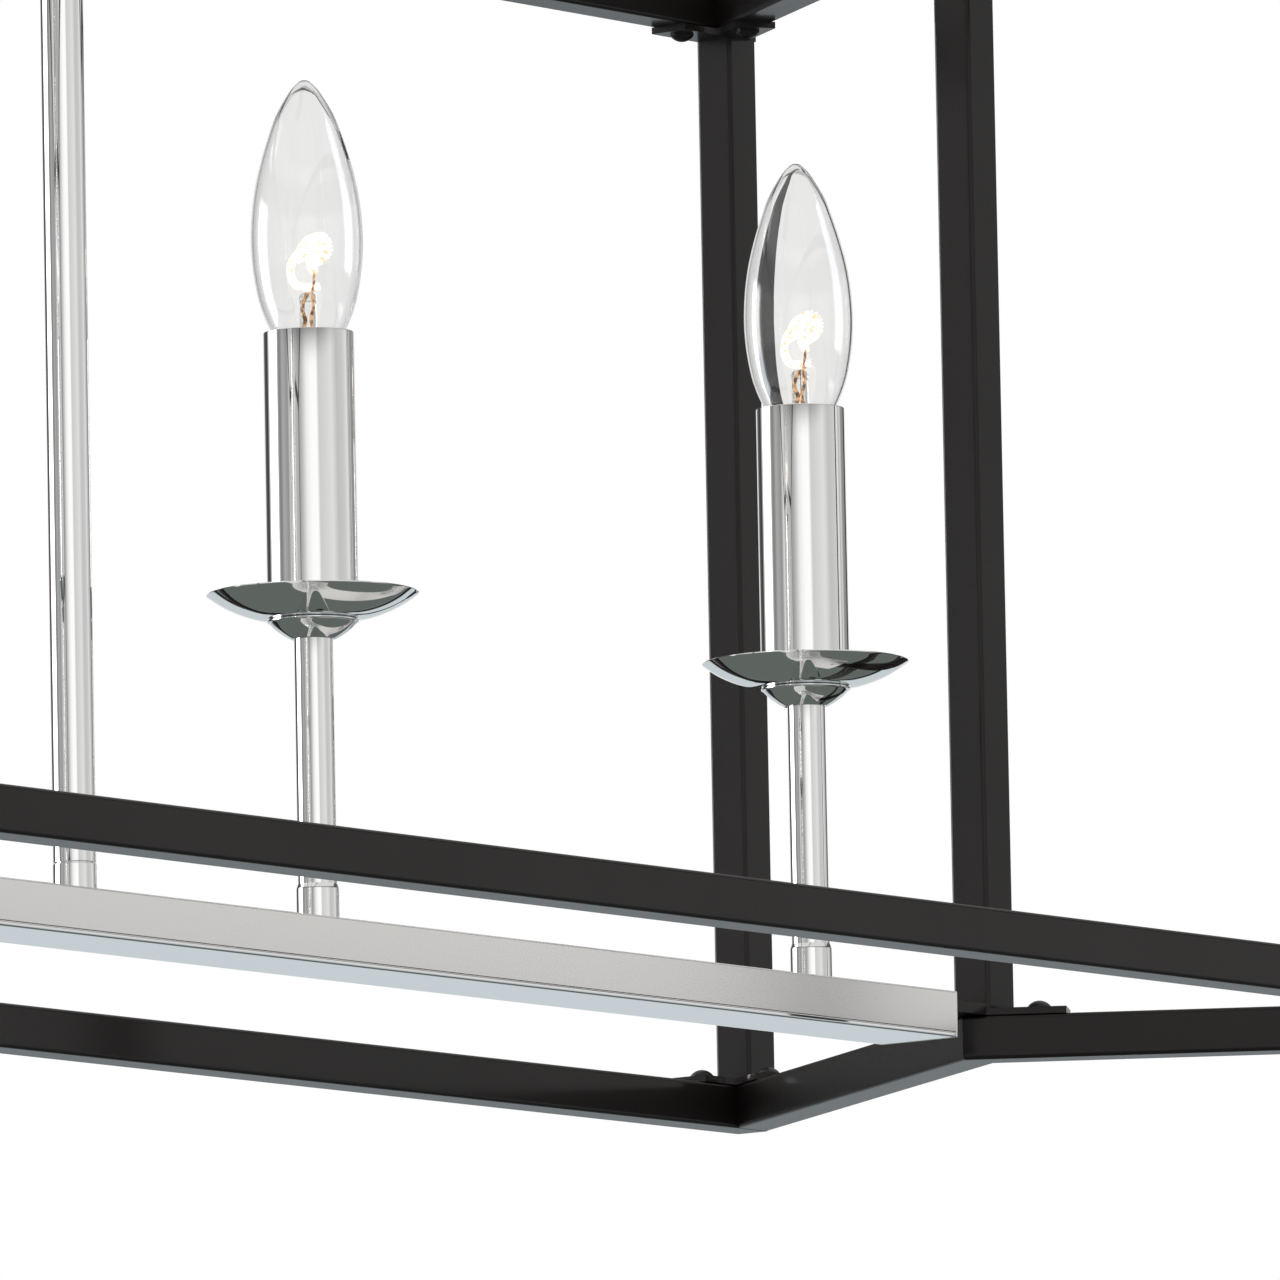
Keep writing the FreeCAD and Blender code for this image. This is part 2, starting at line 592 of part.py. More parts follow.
def socket_body():
    """Moulded candle socket: it screws on the nipple below and holds the threaded shell above."""
    outer, grip, shell = S["socket_size"] / 2, nipple_hole / 2, S["shell_size"] / 2
    roof, edge, mouth = socket_bottom + S["socket_grip"], S["socket_edge"], S["mouth_edge"]
    return turned("socket_body", [
        (grip, socket_bottom), (outer - S["socket_taper"], socket_bottom),
        (outer, socket_bottom + S["socket_foot"]), (outer, socket_top - edge), (outer - edge, socket_top),
        (shell + mouth, socket_top), (shell, socket_top - mouth), (shell, pocket_floor),
        (0, pocket_floor), (0, roof), (grip, roof)])


at_candles("candle_nipples", turned("candle_nipple", pipe(
    S["nipple_size"], S["nipple_bore"], nut_low - S["nipple_end"], socket_bottom + S["socket_grip"])))
at_candles("candle_collars", candle_collar())
at_candles("candle_stems", turned("candle_stem", pipe(
    S["stem_size"], stem_bore, S["collar_height"] - S["collar_seat"], S["stem_top"])))
at_candles("candle_cups", candle_cup())
at_candles("candle_dishes", candle_dish())
at_candles("candle_sleeves", turned("candle_sleeve", pipe(
    S["sleeve_size"], S["sleeve_size"] - S["sleeve_wall"] * 2,
    dish_floor, dish_floor + S["sleeve_height"])))
at_candles("socket_bodies", socket_body())
shell_top = socket_top - S["shell_drop"]
at_candles("socket_shells", turned("socket_shell", pipe(
    S["shell_size"], S["shell_size"] - S["shell_wall"] * 2, shell_top - S["shell_height"], shell_top)))
spring_edge, spring_pad = S["spring_size"] / 2, S["spring_pad"] / 2
at_candles("socket_springs", turned("socket_spring", [
    (0, pocket_floor), (spring_edge, pocket_floor), (spring_edge, pocket_floor + S["spring_sheet"]),
    (spring_pad, pocket_floor + S["spring_height"]), (0, pocket_floor + S["spring_height"])]))


# ---- bulbs ---------------------------------------------------------------------------------------------

def bulb_base():
    """Brass screw base with rounded thread ridges, its insulator closing the foot."""
    crest, valley = S["base_size"] / 2, S["base_size"] / 2 - S["thread_depth"]
    inner, pitch = valley - S["base_wall"], S["thread_pitch"]
    first, inside = base_bottom + S["thread_start"], base_bottom + S["insulator_depth"]
    outline = [(0, base_bottom), (S["contact_size"] / 2 + S["insulator_edge"], base_bottom),
               (valley, base_bottom + S["insulator_height"])]
    for ridge in range(THREAD_TURNS):
        foot = first + pitch * ridge
        outline += [(valley, foot), (crest, foot + pitch / 2, "via")]
    outline += [(valley, first + pitch * THREAD_TURNS), (valley, base_top), (inner, base_top)]
    outline += [(inner, inside), (0, inside)]
    return turned("bulb_base", outline)


def bulb_contact():
    """Round solder button under the base."""
    edge, low = S["contact_size"] / 2, base_bottom - S["contact_height"]
    return turned("bulb_contact", [(0, base_bottom), *dome(edge, base_bottom, low)])


def bulb_glass():
    """Pointed blown glass with an even wall, its neck seated in the base."""
    full, wall, neck = S["bulb_size"] / 2, S["glass_wall"], S["neck_size"] / 2
    tall, rise = S["glass_height"], S["neck_rise"]
    top = base_top + tall
    return turned("bulb_glass", [
        (0, top), (full * 0.1, top - tall * 0.006, "via"), (full * 0.17, top - tall * 0.02),
        (full * 0.765, top - tall * 0.26, "via"), (full, top - tall * 0.57),
        (full * 0.865, top - tall * 0.79, "via"), (neck + S["neck_flare"], base_top + rise),
        (neck, base_top), (neck_seat, base_top), (neck_seat, neck_foot), (neck_seat - wall, neck_foot),
        (neck_seat - wall, base_top + rise), (full * 0.865 - wall, top - tall * 0.785, "via"),
        (full - wall, top - tall * 0.57), (full * 0.765 - wall * 0.85, top - tall * 0.265, "via"),
        (full * 0.14, top - tall * 0.035), (0, top - tall * 0.03)])


def glass_mount():
    """The solid glass stem inside the bulb, flared where it meets the neck."""
    neck, half = neck_seat - S["glass_wall"] - S["glass_gap"], S["mount_size"] / 2
    high, edge, flare = base_top + S["mount_height"], S["mount_edge"], S["mount_flare"]
    return turned("glass_mount", [
        (0, neck_foot), (neck, neck_foot), (neck, neck_foot + edge),
        (half * 1.25, neck_foot + flare * 0.55, "via"), (half, neck_foot + flare),
        (half, high - edge), (half - edge, high), (0, high)])


def bulb_filament():
    """Two lead wires that spread from the glass stem, with an arch of filament between their tips."""
    half_span, half_wire, foot = S["filament_span"] / 2, S["wire_size"] / 2, S["mount_size"] / 4
    low, high = base_top + S["mount_height"], base_top + S["filament_lift"]
    pieces = []
    for side in (-1, 1):
        lead = pin(f"lead_{side}", S["wire_size"], (low, low + root(
            (high - low) * (high - low) + (half_span - foot) * (half_span - foot))), foot * side)
        lead.Placement.Rotation = FreeCAD.Rotation(FreeCAD.Vector(0, side, 0), 10)
        bind(lead, ".Placement.Rotation.Angle", angle_of(half_span - foot, high - low))
        pieces.append(lead)
    arch = doc.addObject("Part::Torus", "filament_arch")
    bind(arch, "Radius1", half_span)
    bind(arch, "Radius2", half_wire)
    arch.Angle3 = 180
    place(arch, 0, 0, high)
    arch.Placement.Rotation = FreeCAD.Rotation(FreeCAD.Vector(1, 0, 0), 90)
    return joined("bulb_filament", *pieces, arch)


bulb_pieces = {
    "bulb_glass": group("glass_pieces", bulb_glass(), glass_mount()),
    "bulb_base": bulb_base(),
    "bulb_filament": bulb_filament(),
    "bulb_contact": bulb_contact(),
}
for number, x in enumerate(candle_places, start=1):
    for name, source in bulb_pieces.items():
        node(f"{name}_{number}", copy(f"{name}_{number}", source, x, 0, bar_top))


# ---- hanging rods --------------------------------------------------------------------------------------

def at_rods(name, source):
    return node(name, group(name, *(
        copy(f"{name}_{side}", source, x) for side, x in zip(("left", "right"), rod_places))))


rod_bore = S["rod_size"] - S["rod_wall"] * 2
canopy_bottom = -S["canopy_depth"]
canopy_floor = canopy_bottom + S["canopy_sheet"]


def rod_collar():
    """Round seat on the wiring bar, with a narrow neck that leaves a shadow line under the rod."""
    outer, hole, neck = S["rod_collar"] / 2, nipple_hole / 2, S["rod_size"] / 2 - S["foot_step"]
    shoulder = rod_collar_top - S["shadow_gap"]
    return turned("rod_collar", [
        (hole, bar_top), (outer, bar_top), (outer, shoulder), (neck, shoulder), (neck, rod_collar_top),
        (hole, rod_collar_top)])


def swivel_ball():
    """Ball with a neck that screws into the rod, bored for the leads, flat on top."""
    radius, bore, neck = S["ball_size"] / 2, S["nipple_bore"] / 2, S["nipple_size"] / 2
    top = ball_z + S["ball_flat"]
    top_radius = root(radius * radius - S["ball_flat"] * S["ball_flat"])
    under = ball_z - root(radius * radius - neck * neck)
    foot = upper_rod_top - S["neck_grip"]
    return turned("swivel_ball", [
        (bore, foot), (neck, foot), (neck, under), (radius, ball_z, "via"), (top_radius, top), (bore, top)])


def swivel_seat():
    """Cup that the ball hangs in, flanged on the canopy's floor, with a flared mouth for the neck."""
    radius = S["ball_size"] / 2 + S["ball_clearance"]
    mouth, outer, flange = S["seat_mouth"] / 2, S["seat_size"] / 2, S["seat_flange"] / 2
    edge = S["seat_edge"]
    lowest = ball_z - root(radius * radius - mouth * mouth)
    low, top = ball_z - S["seat_drop"], ball_z + S["seat_top"]
    top_radius = root(radius * radius - S["seat_top"] * S["seat_top"])
    flange_top = canopy_floor + S["flange_sheet"]
    return turned("swivel_seat", [
        (mouth, lowest), (mouth + S["seat_flare"], low), (outer - edge, low),
        (outer - edge * 0.29, low + edge * 0.29, "via"), (outer, low + edge), (outer, canopy_floor),
        (flange, canopy_floor), (flange, flange_top), (outer, flange_top), (outer, top),
        (top_radius, top), (radius, ball_z, "via")])


at_rods("rod_collars", rod_collar())
at_rods("lower_rods", turned("lower_rod", pipe(S["rod_size"], rod_bore, rod_collar_top, lower_rod_top)))
at_rods("upper_rods", turned("upper_rod", pipe(S["rod_size"], rod_bore, lower_rod_top, upper_rod_top)))
half_joiner = S["joiner_length"] / 2
rod_foot_nipple = turned("rod_foot_nipple", pipe(
    S["nipple_size"], S["nipple_bore"], bar_top + nut_low - S["nipple_end"],
    rod_collar_top + half_joiner))
rod_joiner = turned("rod_joiner", pipe(
    S["nipple_size"], S["nipple_bore"], lower_rod_top - half_joiner, lower_rod_top + half_joiner))
at_rods("rod_nipples", group("rod_nipple_pair", rod_foot_nipple, rod_joiner))
at_rods("swivel_balls", swivel_ball())
at_rods("swivel_seats", swivel_seat())

# Hexagon nuts hold the candles and the rods under the wiring bar's top, and clamp each dish on its nipple.
lock_nut = cut("lock_nut", hexagon("lock_nut_hexagon", S["nut_flats"], (0, S["nut_height"])),
               pin("lock_nut_hole", nipple_hole, (-PAST, S["nut_height"] + PAST)))
nut_places = [(x, bar_top + nut_low) for x in candle_places + rod_places]
nut_places += [(x, bar_top + dish_floor) for x in candle_places]
node("lock_nuts", group("lock_nuts", *(
    copy(f"lock_nut_{index}", lock_nut, x, 0, z) for index, (x, z) in enumerate(nut_places))))


# ---- ceiling canopy ------------------------------------------------------------------------------------

def canopy_shell(name, drawn_in, low, high):
    """A block with rounded upright corners, drawn in from the canopy's outside."""
    half_length, half_width = S["canopy_length"] / 2 - drawn_in, S["canopy_width"] / 2 - drawn_in
    body = doc.addObject("PartDesign::Body", name)
    plan = draw(sketch_on(body, "XY_Plane", name + "_plan"), [
        (-half_length, -half_width), (half_length, -half_width), (half_length, half_width),
        (-half_length, half_width)])
    pad = body.newObject("PartDesign::Pad", name + "_pad")
    pad.Profile = plan
    bind(pad, "Length", high - low)
    place(body, 0, 0, low)
    return rounded(body, pad, S["canopy_round"] - drawn_in,
                   lambda edge: abs(edge.tangentAt(edge.FirstParameter).z) > 0.99)


stud_hole = S["stud_size"] + S["stud_hole_gap"] * 2
canopy_holes = group("canopy_holes", *(
    pin(f"seat_hole_{index}", S["seat_size"] + S["slip_gap"],
        (canopy_bottom - PAST, canopy_floor + PAST), x)
    for index, x in enumerate(rod_places)), *(
    pin(f"stud_hole_{index}", stud_hole, (canopy_bottom - PAST, canopy_floor + PAST), x)
    for index, x in enumerate(stud_places)))
canopy_pan = cut("canopy_pan", canopy_shell("canopy_outside", sized(0), canopy_bottom, sized(0)),
                 canopy_shell("canopy_inside", S["canopy_sheet"], canopy_floor, sized(PAST)))
node("canopy", cut("canopy", canopy_pan, canopy_holes))


through_strap = (-S["bar_sheet"] - PAST, sized(PAST))


def box_slot(name, x):
    """Slot for a ceiling box screw, along X, with round ends."""
    reach, half_width = S["slot_length"] / 2 - S["slot_width"] / 2, S["slot_width"] / 2
    ends = [pin(f"{name}_end_{sign}", S["slot_width"], through_strap, x + reach * sign) for sign in (-1, 1)]
    middle = block(name + "_middle", (x - reach, x + reach), (-half_width, half_width), through_strap)
    return joined(name, *ends, middle)


half_strap = S["bar_length"] / 2
strap = block("mounting_strap", (-half_strap, half_strap), (-S["bar_width"] / 2, S["bar_width"] / 2),
              (-S["bar_sheet"], sized(0)))
strap_cuts = [box_slot(f"box_slot_{sign}", S["box_spacing"] / 2 * sign) for sign in (-1, 1)]
strap_cuts += [pin(f"strap_stud_hole_{index}", S["stud_size"] + S["slip_gap"], through_strap, x)
               for index, x in enumerate(stud_places)]
strap_cuts += [pin("lead_hole", S["lead_hole"], through_strap)]
node("mounting_bar", cut("mounting_bar", strap, *strap_cuts))

knob_top = canopy_bottom
knob_foot = canopy_bottom - S["knob_height"]
node("mounting_studs", group("mounting_studs", *(
    pin(f"mounting_stud_{index}", S["stud_size"], (knob_foot + S["knob_crown"] * 0.6, sized(0)), x)
    for index, x in enumerate(stud_places))))
stud_nut_top = -S["bar_sheet"]
node("stud_nuts", group("stud_nuts", *(
    cut(f"stud_nut_{index}", hexagon(f"stud_nut_hexagon_{index}", S["stud_nut_flats"],
                                     (stud_nut_top - S["stud_nut_height"], stud_nut_top), x),
        pin(f"stud_nut_hole_{index}", S["stud_size"] + S["slip_gap"],
            (stud_nut_top - S["stud_nut_height"] - PAST, stud_nut_top + PAST), x))
    for index, x in enumerate(stud_places))))

knob_radius, knob_bore = S["knob_size"] / 2, S["stud_size"] / 2 + S["knob_bore_gap"]
knob_roof = knob_foot + S["knob_crown"] / 2
cap_knob = turned("cap_knob", [
    (0, knob_roof), (knob_bore, knob_roof), (knob_bore, knob_top), (knob_radius, knob_top),
    *dome(knob_radius, knob_foot + S["knob_crown"], knob_foot)])
node("canopy_knobs", group("canopy_knobs", *(
    copy(f"canopy_knob_{index}", cap_knob, x) for index, x in enumerate(stud_places))))


# ---- checks and files ----------------------------------------------------------------------------------

doc.recompute()
for thing in doc.Objects:
    if {"Invalid", "Error"} & set(thing.State):
        raise RuntimeError(f"{thing.Name} failed: {thing.State}")
for name, thing in NODES.items():
    shape = thing.Shape
    if shape.isNull() or not shape.isValid() or not shape.Solids:
        raise RuntimeError(f"{name} has no valid solid")
    shape.exportStep(f"parts/{name}.step")
    print(f"{name}: {len(shape.Solids)} solids, {shape.Volume:.1f} mm3")
print(len(NODES), "nodes")
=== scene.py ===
import json
import math

import bmesh
import bpy
import numpy as np
from mathutils import Matrix, Vector


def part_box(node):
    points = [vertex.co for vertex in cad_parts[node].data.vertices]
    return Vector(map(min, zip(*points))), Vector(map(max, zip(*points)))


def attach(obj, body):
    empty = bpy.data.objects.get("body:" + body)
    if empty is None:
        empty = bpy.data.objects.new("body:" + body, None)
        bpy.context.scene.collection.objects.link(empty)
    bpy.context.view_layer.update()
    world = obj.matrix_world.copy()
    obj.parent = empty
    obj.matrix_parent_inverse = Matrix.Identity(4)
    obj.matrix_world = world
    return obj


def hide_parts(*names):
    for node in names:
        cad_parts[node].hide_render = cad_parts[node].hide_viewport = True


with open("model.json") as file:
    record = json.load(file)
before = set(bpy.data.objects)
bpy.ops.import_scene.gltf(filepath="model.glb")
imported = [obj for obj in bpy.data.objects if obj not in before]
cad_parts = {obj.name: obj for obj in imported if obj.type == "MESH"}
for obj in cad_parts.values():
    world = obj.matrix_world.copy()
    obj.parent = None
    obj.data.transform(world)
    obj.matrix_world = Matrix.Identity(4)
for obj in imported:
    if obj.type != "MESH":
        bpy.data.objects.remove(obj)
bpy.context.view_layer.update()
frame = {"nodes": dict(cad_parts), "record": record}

# Linear island pendant: a black cage of square tube with candle lights on a chrome bar. The rounded
# chrome pieces, the bulbs and the painted tubes are drawn here as fine surfaces over the plain solids of
# the frame. The pieces are given in millimetres. The camera, the lamps, the floor, the grain of the
# finishes and the depth of their bumps are in metres.

MM = 0.001
CANDLE_PITCH = 225.0
CANDLES = [CANDLE_PITCH * step for step in (-2, -1, 0, 1, 2)]
RODS = [-119.0, 119.0]
STUDS = [-80.0, 80.0]

# ---- camera --------------------------------------------------------------------------------------

CAMERA_PLACE = Vector((-4.17119, -3.59985, -1.33061))
CAMERA_HEADING = math.radians(51.614)   # turned from +Y towards +X
CAMERA_RISE = math.radians(7.213)
CAMERA_ROLL = math.radians(-1.080)
CAMERA_LENS, CAMERA_SENSOR = 572.21, 36.0   # millimetres


def aim_camera():
    """The camera's axes: across and up, turned about the line of sight by the roll."""
    level = Vector((math.sin(CAMERA_HEADING), math.cos(CAMERA_HEADING), 0))
    across = Vector((math.cos(CAMERA_HEADING), -math.sin(CAMERA_HEADING), 0))
    sight = level * math.cos(CAMERA_RISE) + Vector((0, 0, math.sin(CAMERA_RISE)))
    upright = across.cross(sight)
    turned_across = across * math.cos(CAMERA_ROLL) + upright * math.sin(CAMERA_ROLL)
    turned_up = upright * math.cos(CAMERA_ROLL) - across * math.sin(CAMERA_ROLL)
    lens = bpy.data.cameras.new("photo_camera")
    lens.sensor_width = CAMERA_SENSOR
    lens.lens = CAMERA_LENS
    lens.clip_start, lens.clip_end = 0.1, 200.0
    camera = bpy.data.objects.new("photo_camera", lens)
    axes = Matrix((turned_across, turned_up, -sight)).transposed()
    camera.matrix_world = Matrix.Translation(CAMERA_PLACE) @ axes.to_4x4()
    bpy.context.scene.collection.objects.link(camera)
    bpy.context.scene.camera = camera


aim_camera()


# ---- shader maths --------------------------------------------------------------------------------

class Value:
    """A socket whose value changes over the surface. Arithmetic on it adds Math nodes."""

    def __init__(self, tree, socket):
        """A socket that belongs to the node tree."""
        self.tree, self.socket = tree, socket

    def math(self, operation, *others):
        """A Math node's result, with this value in its first socket and the others after it."""
        node = self.tree.nodes.new("ShaderNodeMath")
        node.operation = operation
        for place, item in zip(node.inputs, (self, *others)):
            join(self.tree, place, item)
        return Value(self.tree, node.outputs[0])

    def __add__(self, other):
        return self.math("ADD", other)

    def __mul__(self, other):
        return self.math("MULTIPLY", other)

    def __truediv__(self, other):
        return self.math("DIVIDE", other)

    def __rsub__(self, other):
        return (self * -1.0) + other

    __radd__ = __add__
    __rmul__ = __mul__

    def within(self, low, high):
        """0 below low, 1 above high, smooth between."""
        node = self.tree.nodes.new("ShaderNodeMapRange")
        node.interpolation_type = "SMOOTHSTEP"
        for name, item in (("Value", self), ("From Min", low), ("From Max", high)):
            join(self.tree, node.inputs[name], item)
        return Value(self.tree, node.outputs[0])


def join(tree, place, item):
    """Puts a number or colour in a socket, or links a Value to it."""
    if isinstance(item, Value):
        tree.links.new(item.socket, place)
    else:
        place.default_value = item


class Finish:
    """The node tree of a material or of the world."""

    def __init__(self, tree):
        """The node tree, emptied."""
        self.tree = tree
        tree.nodes.clear()

    def node(self, kind, settings=None, output=0, **inputs):
        """A node of a kind, with its settings first and then the values or links of its sockets."""
        made = self.tree.nodes.new(kind)
        for name, item in (settings or {}).items():
            if name == "stops":
                ramp = made.color_ramp
                while len(ramp.elements) < len(item):
                    ramp.elements.new(0.5)
                for element, (place, colour) in zip(ramp.elements, item):
                    element.position, element.color = place, colour
            else:
                setattr(made, name, item)
        for name, item in inputs.items():
            socket = int(name[1:]) if name[0] == "_" else name.replace("_", " ")
            join(self.tree, made.inputs[socket], item)
        return Value(self.tree, made.outputs[output])

    def dot(self, direction, vector):
        """The direction's share along the vector."""
        settings = {"operation": "DOT_PRODUCT"}
        return self.node("ShaderNodeVectorMath", settings, 1, _0=direction, _1=vector)

    def mixed(self, factor, first, second):
        """The second colour over the first, by the factor."""
        made = self.tree.nodes.new("ShaderNodeMix")
        made.data_type = "RGBA"
        for place, item in ((0, factor), (6, first), (7, second)):
            join(self.tree, made.inputs[place], item)
        return Value(self.tree, made.outputs[2])

    def shaded(self, colour, tint):
        """The colour multiplied by the tint."""
        made = self.tree.nodes.new("ShaderNodeMix")
        made.data_type, made.blend_type = "RGBA", "MULTIPLY"
        for place, item in ((0, 1.0), (6, colour), (7, tint)):
            join(self.tree, made.inputs[place], item)
        return Value(self.tree, made.outputs[2])

    def noise(self, size, detail=2.0, stretch=(1, 1, 1)):
        """Soft noise from 0 to 1, with grains of about size metres along each stretched axis."""
        where = self.node("ShaderNodeTexCoord", None, "Object")
        squeeze = tuple(1 / share for share in stretch)
        scaled = self.node("ShaderNodeMapping", None, 0, Vector=where, Scale=squeeze)
        return self.node("ShaderNodeTexNoise", None, 0, Vector=scaled, Scale=1 / size, Detail=detail)


def material(name, paint):
    """A material whose node tree is drawn by paint(finish), which returns its surface shader."""
    made = bpy.data.materials.new(name)
    made.use_nodes = True
    finish = Finish(made.node_tree)
    surface = paint(finish)
    output = made.node_tree.nodes.new("ShaderNodeOutputMaterial")
    made.node_tree.links.new(surface.socket, output.inputs["Surface"])
    return made


def principled(finish, **inputs):
    """A Principled shader with these values or links in its sockets."""
    return finish.node("ShaderNodeBsdfPrincipled", None, 0, **inputs)


def bumped(finish, height, depth):
    """A normal from a height between 0 and 1, as deep as depth metres."""
    return finish.node("ShaderNodeBump", None, 0, Height=height, Distance=depth, Strength=1.0)


# ---- finishes ------------------------------------------------------------------------------------

def satin_paint(finish):
    """Near-black powder paint: a fine orange peel, faint brown variation and uneven sheen."""
    peel = finish.noise(0.0016, 3.0)
    drift = finish.noise(0.05, 2.0)
    colour = finish.mixed(drift, (0.0068, 0.0048, 0.0043, 1), (0.0108, 0.0082, 0.0074, 1))
    return principled(finish, Base_Color=colour, Roughness=0.45 + 0.10 * peel + 0.06 * drift,
                      Specular_IOR_Level=0.16, Coat_Weight=0.36 + 0.10 * drift, Coat_Roughness=0.12,
                      Normal=bumped(finish, peel, 0.00001))


def polished_chrome(finish):
    """Bright plate: almost a mirror, with faint long waves and hazy patches."""
    haze = finish.noise(0.035, 3.0)
    wave = finish.noise(0.012, 1.0, (1, 1, 5))
    colour = finish.mixed(haze, (0.91, 0.91, 0.91, 1), (0.95, 0.95, 0.945, 1))
    return principled(finish, Base_Color=colour, Metallic=1.0, Roughness=0.03 + 0.02 * haze,
                      Normal=bumped(finish, wave, 0.000012))


def satin_chrome(finish):
    """The same plate on the folded bar, with a softer shine that blurs what it reflects."""
    haze = finish.noise(0.03, 3.0, (6, 1, 1))
    colour = finish.mixed(haze, (0.87, 0.86, 0.85, 1), (0.93, 0.92, 0.905, 1))
    return principled(finish, Base_Color=colour, Metallic=1.0, Roughness=0.20 + 0.06 * haze)


def clear_glass(finish):
    """Thin blown glass with faint swirls that ripple its reflections."""
    swirl = finish.noise(0.009, 1.5, (1, 1, 3))
    return principled(finish, Base_Color=(0.957, 0.958, 0.955, 1), Roughness=0.0, IOR=1.48,
                      Transmission_Weight=1.0, Normal=bumped(finish, swirl, 0.00002))


def glowing_wire(finish):
    """White-hot tungsten with warmer spots where the wire is a little cooler."""
    glow = finish.noise(0.0014, 2.0).within(0.35, 0.48)
    colour = finish.mixed(glow, (0.92, 0.50, 0.28, 1), (1.0, 0.95, 0.88, 1))
    return principled(finish, Base_Color=(0.35, 0.33, 0.30, 1), Roughness=0.4, Metallic=1.0,
                      Emission_Color=colour, Emission_Strength=1.3)


def lead_wire(finish):
    """Copper-toned lead wires with a painted glow: they give off light in their own colour, standing in
    for the filament's light falling on them.
    """
    # Random patches from dark brown to orange copper tone. The same patches set the painted glow, which
    # is stronger where they are orange.
    stain_and_glow = finish.noise(0.0016, 2.0).within(0.40, 0.62)
    colour = finish.mixed(stain_and_glow, (0.13, 0.055, 0.02, 1), (0.86, 0.52, 0.26, 1))
    # The emission is painted light: the filament's glow on the wires, not light of their own.
    return principled(finish, Base_Color=colour, Metallic=0.9, Roughness=0.3 + 0.2 * stain_and_glow,
                      Emission_Color=colour, Emission_Strength=0.6)


def screw_brass(finish):
    """Rolled yellow metal of the screw base and the nuts, slightly tarnished."""
    tarnish = finish.noise(0.006, 4.0)
    colour = finish.mixed(tarnish, (0.72, 0.55, 0.30, 1), (0.60, 0.44, 0.22, 1))
    return principled(finish, Base_Color=colour, Metallic=1.0, Roughness=0.18 + 0.2 * tarnish,
                      Normal=bumped(finish, tarnish, 0.00003))


def zinc_plate(finish):
    """Bright zinc on small steel hardware: pale spangles and a soft sheen."""
    spangle = finish.noise(0.004, 3.0)
    colour = finish.mixed(spangle, (0.50, 0.51, 0.52, 1), (0.64, 0.64, 0.62, 1))
    return principled(finish, Base_Color=colour, Metallic=1.0, Roughness=0.28 + 0.16 * spangle,
                      Normal=bumped(finish, spangle, 0.00002))


def moulded_plastic(finish):
    """Off-white moulded socket plastic with a fine matt grain."""
    grain = finish.noise(0.0008, 3.0)
    tone = finish.noise(0.02, 2.0)
    colour = finish.mixed(tone, (0.74, 0.71, 0.65, 1), (0.80, 0.78, 0.73, 1))
    return principled(finish, Base_Color=colour, Roughness=0.5 + 0.15 * grain,
                      Normal=bumped(finish, grain, 0.00003))


def solder_metal(finish):
    """Dull grey solder with frozen wrinkles."""
    wrinkle = finish.noise(0.0009, 3.0)
    colour = finish.mixed(wrinkle, (0.42, 0.42, 0.42, 1), (0.60, 0.60, 0.58, 1))
    return principled(finish, Base_Color=colour, Metallic=1.0, Roughness=0.35 + 0.2 * wrinkle,
                      Normal=bumped(finish, wrinkle, 0.00008))


FINISHES = {
    "satin_black": material("satin_black_paint", satin_paint),
    "chrome": material("polished_chrome", polished_chrome),
    "clear_glass": material("clear_bulb_glass", clear_glass),
    "filament": material("glowing_filament", glowing_wire),
    "glass_base": material("screw_base_metal", screw_brass),
    "brass": material("plain_brass", screw_brass),
    "zinc_steel": material("zinc_plated_steel", zinc_plate),
    "socket_plastic": material("socket_plastic", moulded_plastic),
    "solder": material("contact_solder", solder_metal),
}
SATIN_CHROME = material("satin_chrome", satin_chrome)
LEAD_WIRE = material("lead_wire", lead_wire)

SLOT_OF = {entry["node"]: entry["material_slot"] for entry in frame["record"]["subparts"]}
BODIES = frame["record"]["behaviour"]["bodies"]
BODY_OF = {name: body for body, names in BODIES.items() for name in names}
for name, thing in frame["nodes"].items():
    thing.data.materials.clear()
    thing.data.materials.append(FINISHES[SLOT_OF[name]])


# ---- surfaces ------------------------------------------------------------------------------------

NEW_CREASE = 30.0      # degrees between two faces past which their shared edge stays sharp
COPY_CREASE = 32.0
JOIN_REACH = 1e-7      # metres within which the points of a new piece become one
COPY_JOIN_REACH = 1e-6


def sheet_of(points, wrap_rows=False, wrap_columns=False):
    """A grid of points (rows, columns, 3) in millimetres as vertices in metres and four-sided faces."""
    rows, columns = points.shape[:2]
    index = np.arange(rows * columns).reshape(rows, columns)
    if wrap_rows:
        index = np.vstack((index, index[:1]))
    if wrap_columns:
        index = np.hstack((index, index[:, :1]))
    faces = np.stack((index[:-1, :-1], index[:-1, 1:], index[1:, 1:], index[1:, :-1]), axis=-1)
    return points.reshape(-1, 3) * MM, faces.reshape(-1, 4)


def together(parts):
    """Several (vertices, faces) pairs as one."""
    vertices, faces, count = [], [], 0
    for some, quads in parts:
        vertices.append(some)
        faces.append(quads + count)
        count += len(some)
    return np.vstack(vertices), np.vstack(faces)


def piece(name, parts, finish, node):
    """One new object from (vertices, faces) pairs, standing for a frame node and riding on its body."""
    vertices, faces = together(parts)
    mesh = bpy.data.meshes.new(name)
    mesh.from_pydata(vertices.tolist(), [], faces.tolist())
    tidy = bmesh.new()
    tidy.from_mesh(mesh)
    bmesh.ops.remove_doubles(tidy, verts=tidy.verts, dist=JOIN_REACH)
    bmesh.ops.recalc_face_normals(tidy, faces=tidy.faces)
    tidy.to_mesh(mesh)
    tidy.free()
    dressed(name, mesh, finish, node, NEW_CREASE)


def dressed(name, mesh, finish, node, crease):
    """The mesh as an object with its finish, shaded smooth but for edges sharper than the crease, in the
    place of a frame node."""
    mesh.polygons.foreach_set("use_smooth", np.ones(len(mesh.polygons), bool))
    mesh.set_sharp_from_angle(angle=math.radians(crease))
    mesh.materials.append(finish)
    made = bpy.data.objects.new(name, mesh)
    bpy.context.scene.collection.objects.link(made)
    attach(made, BODY_OF[node])
    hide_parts(node)
    return made


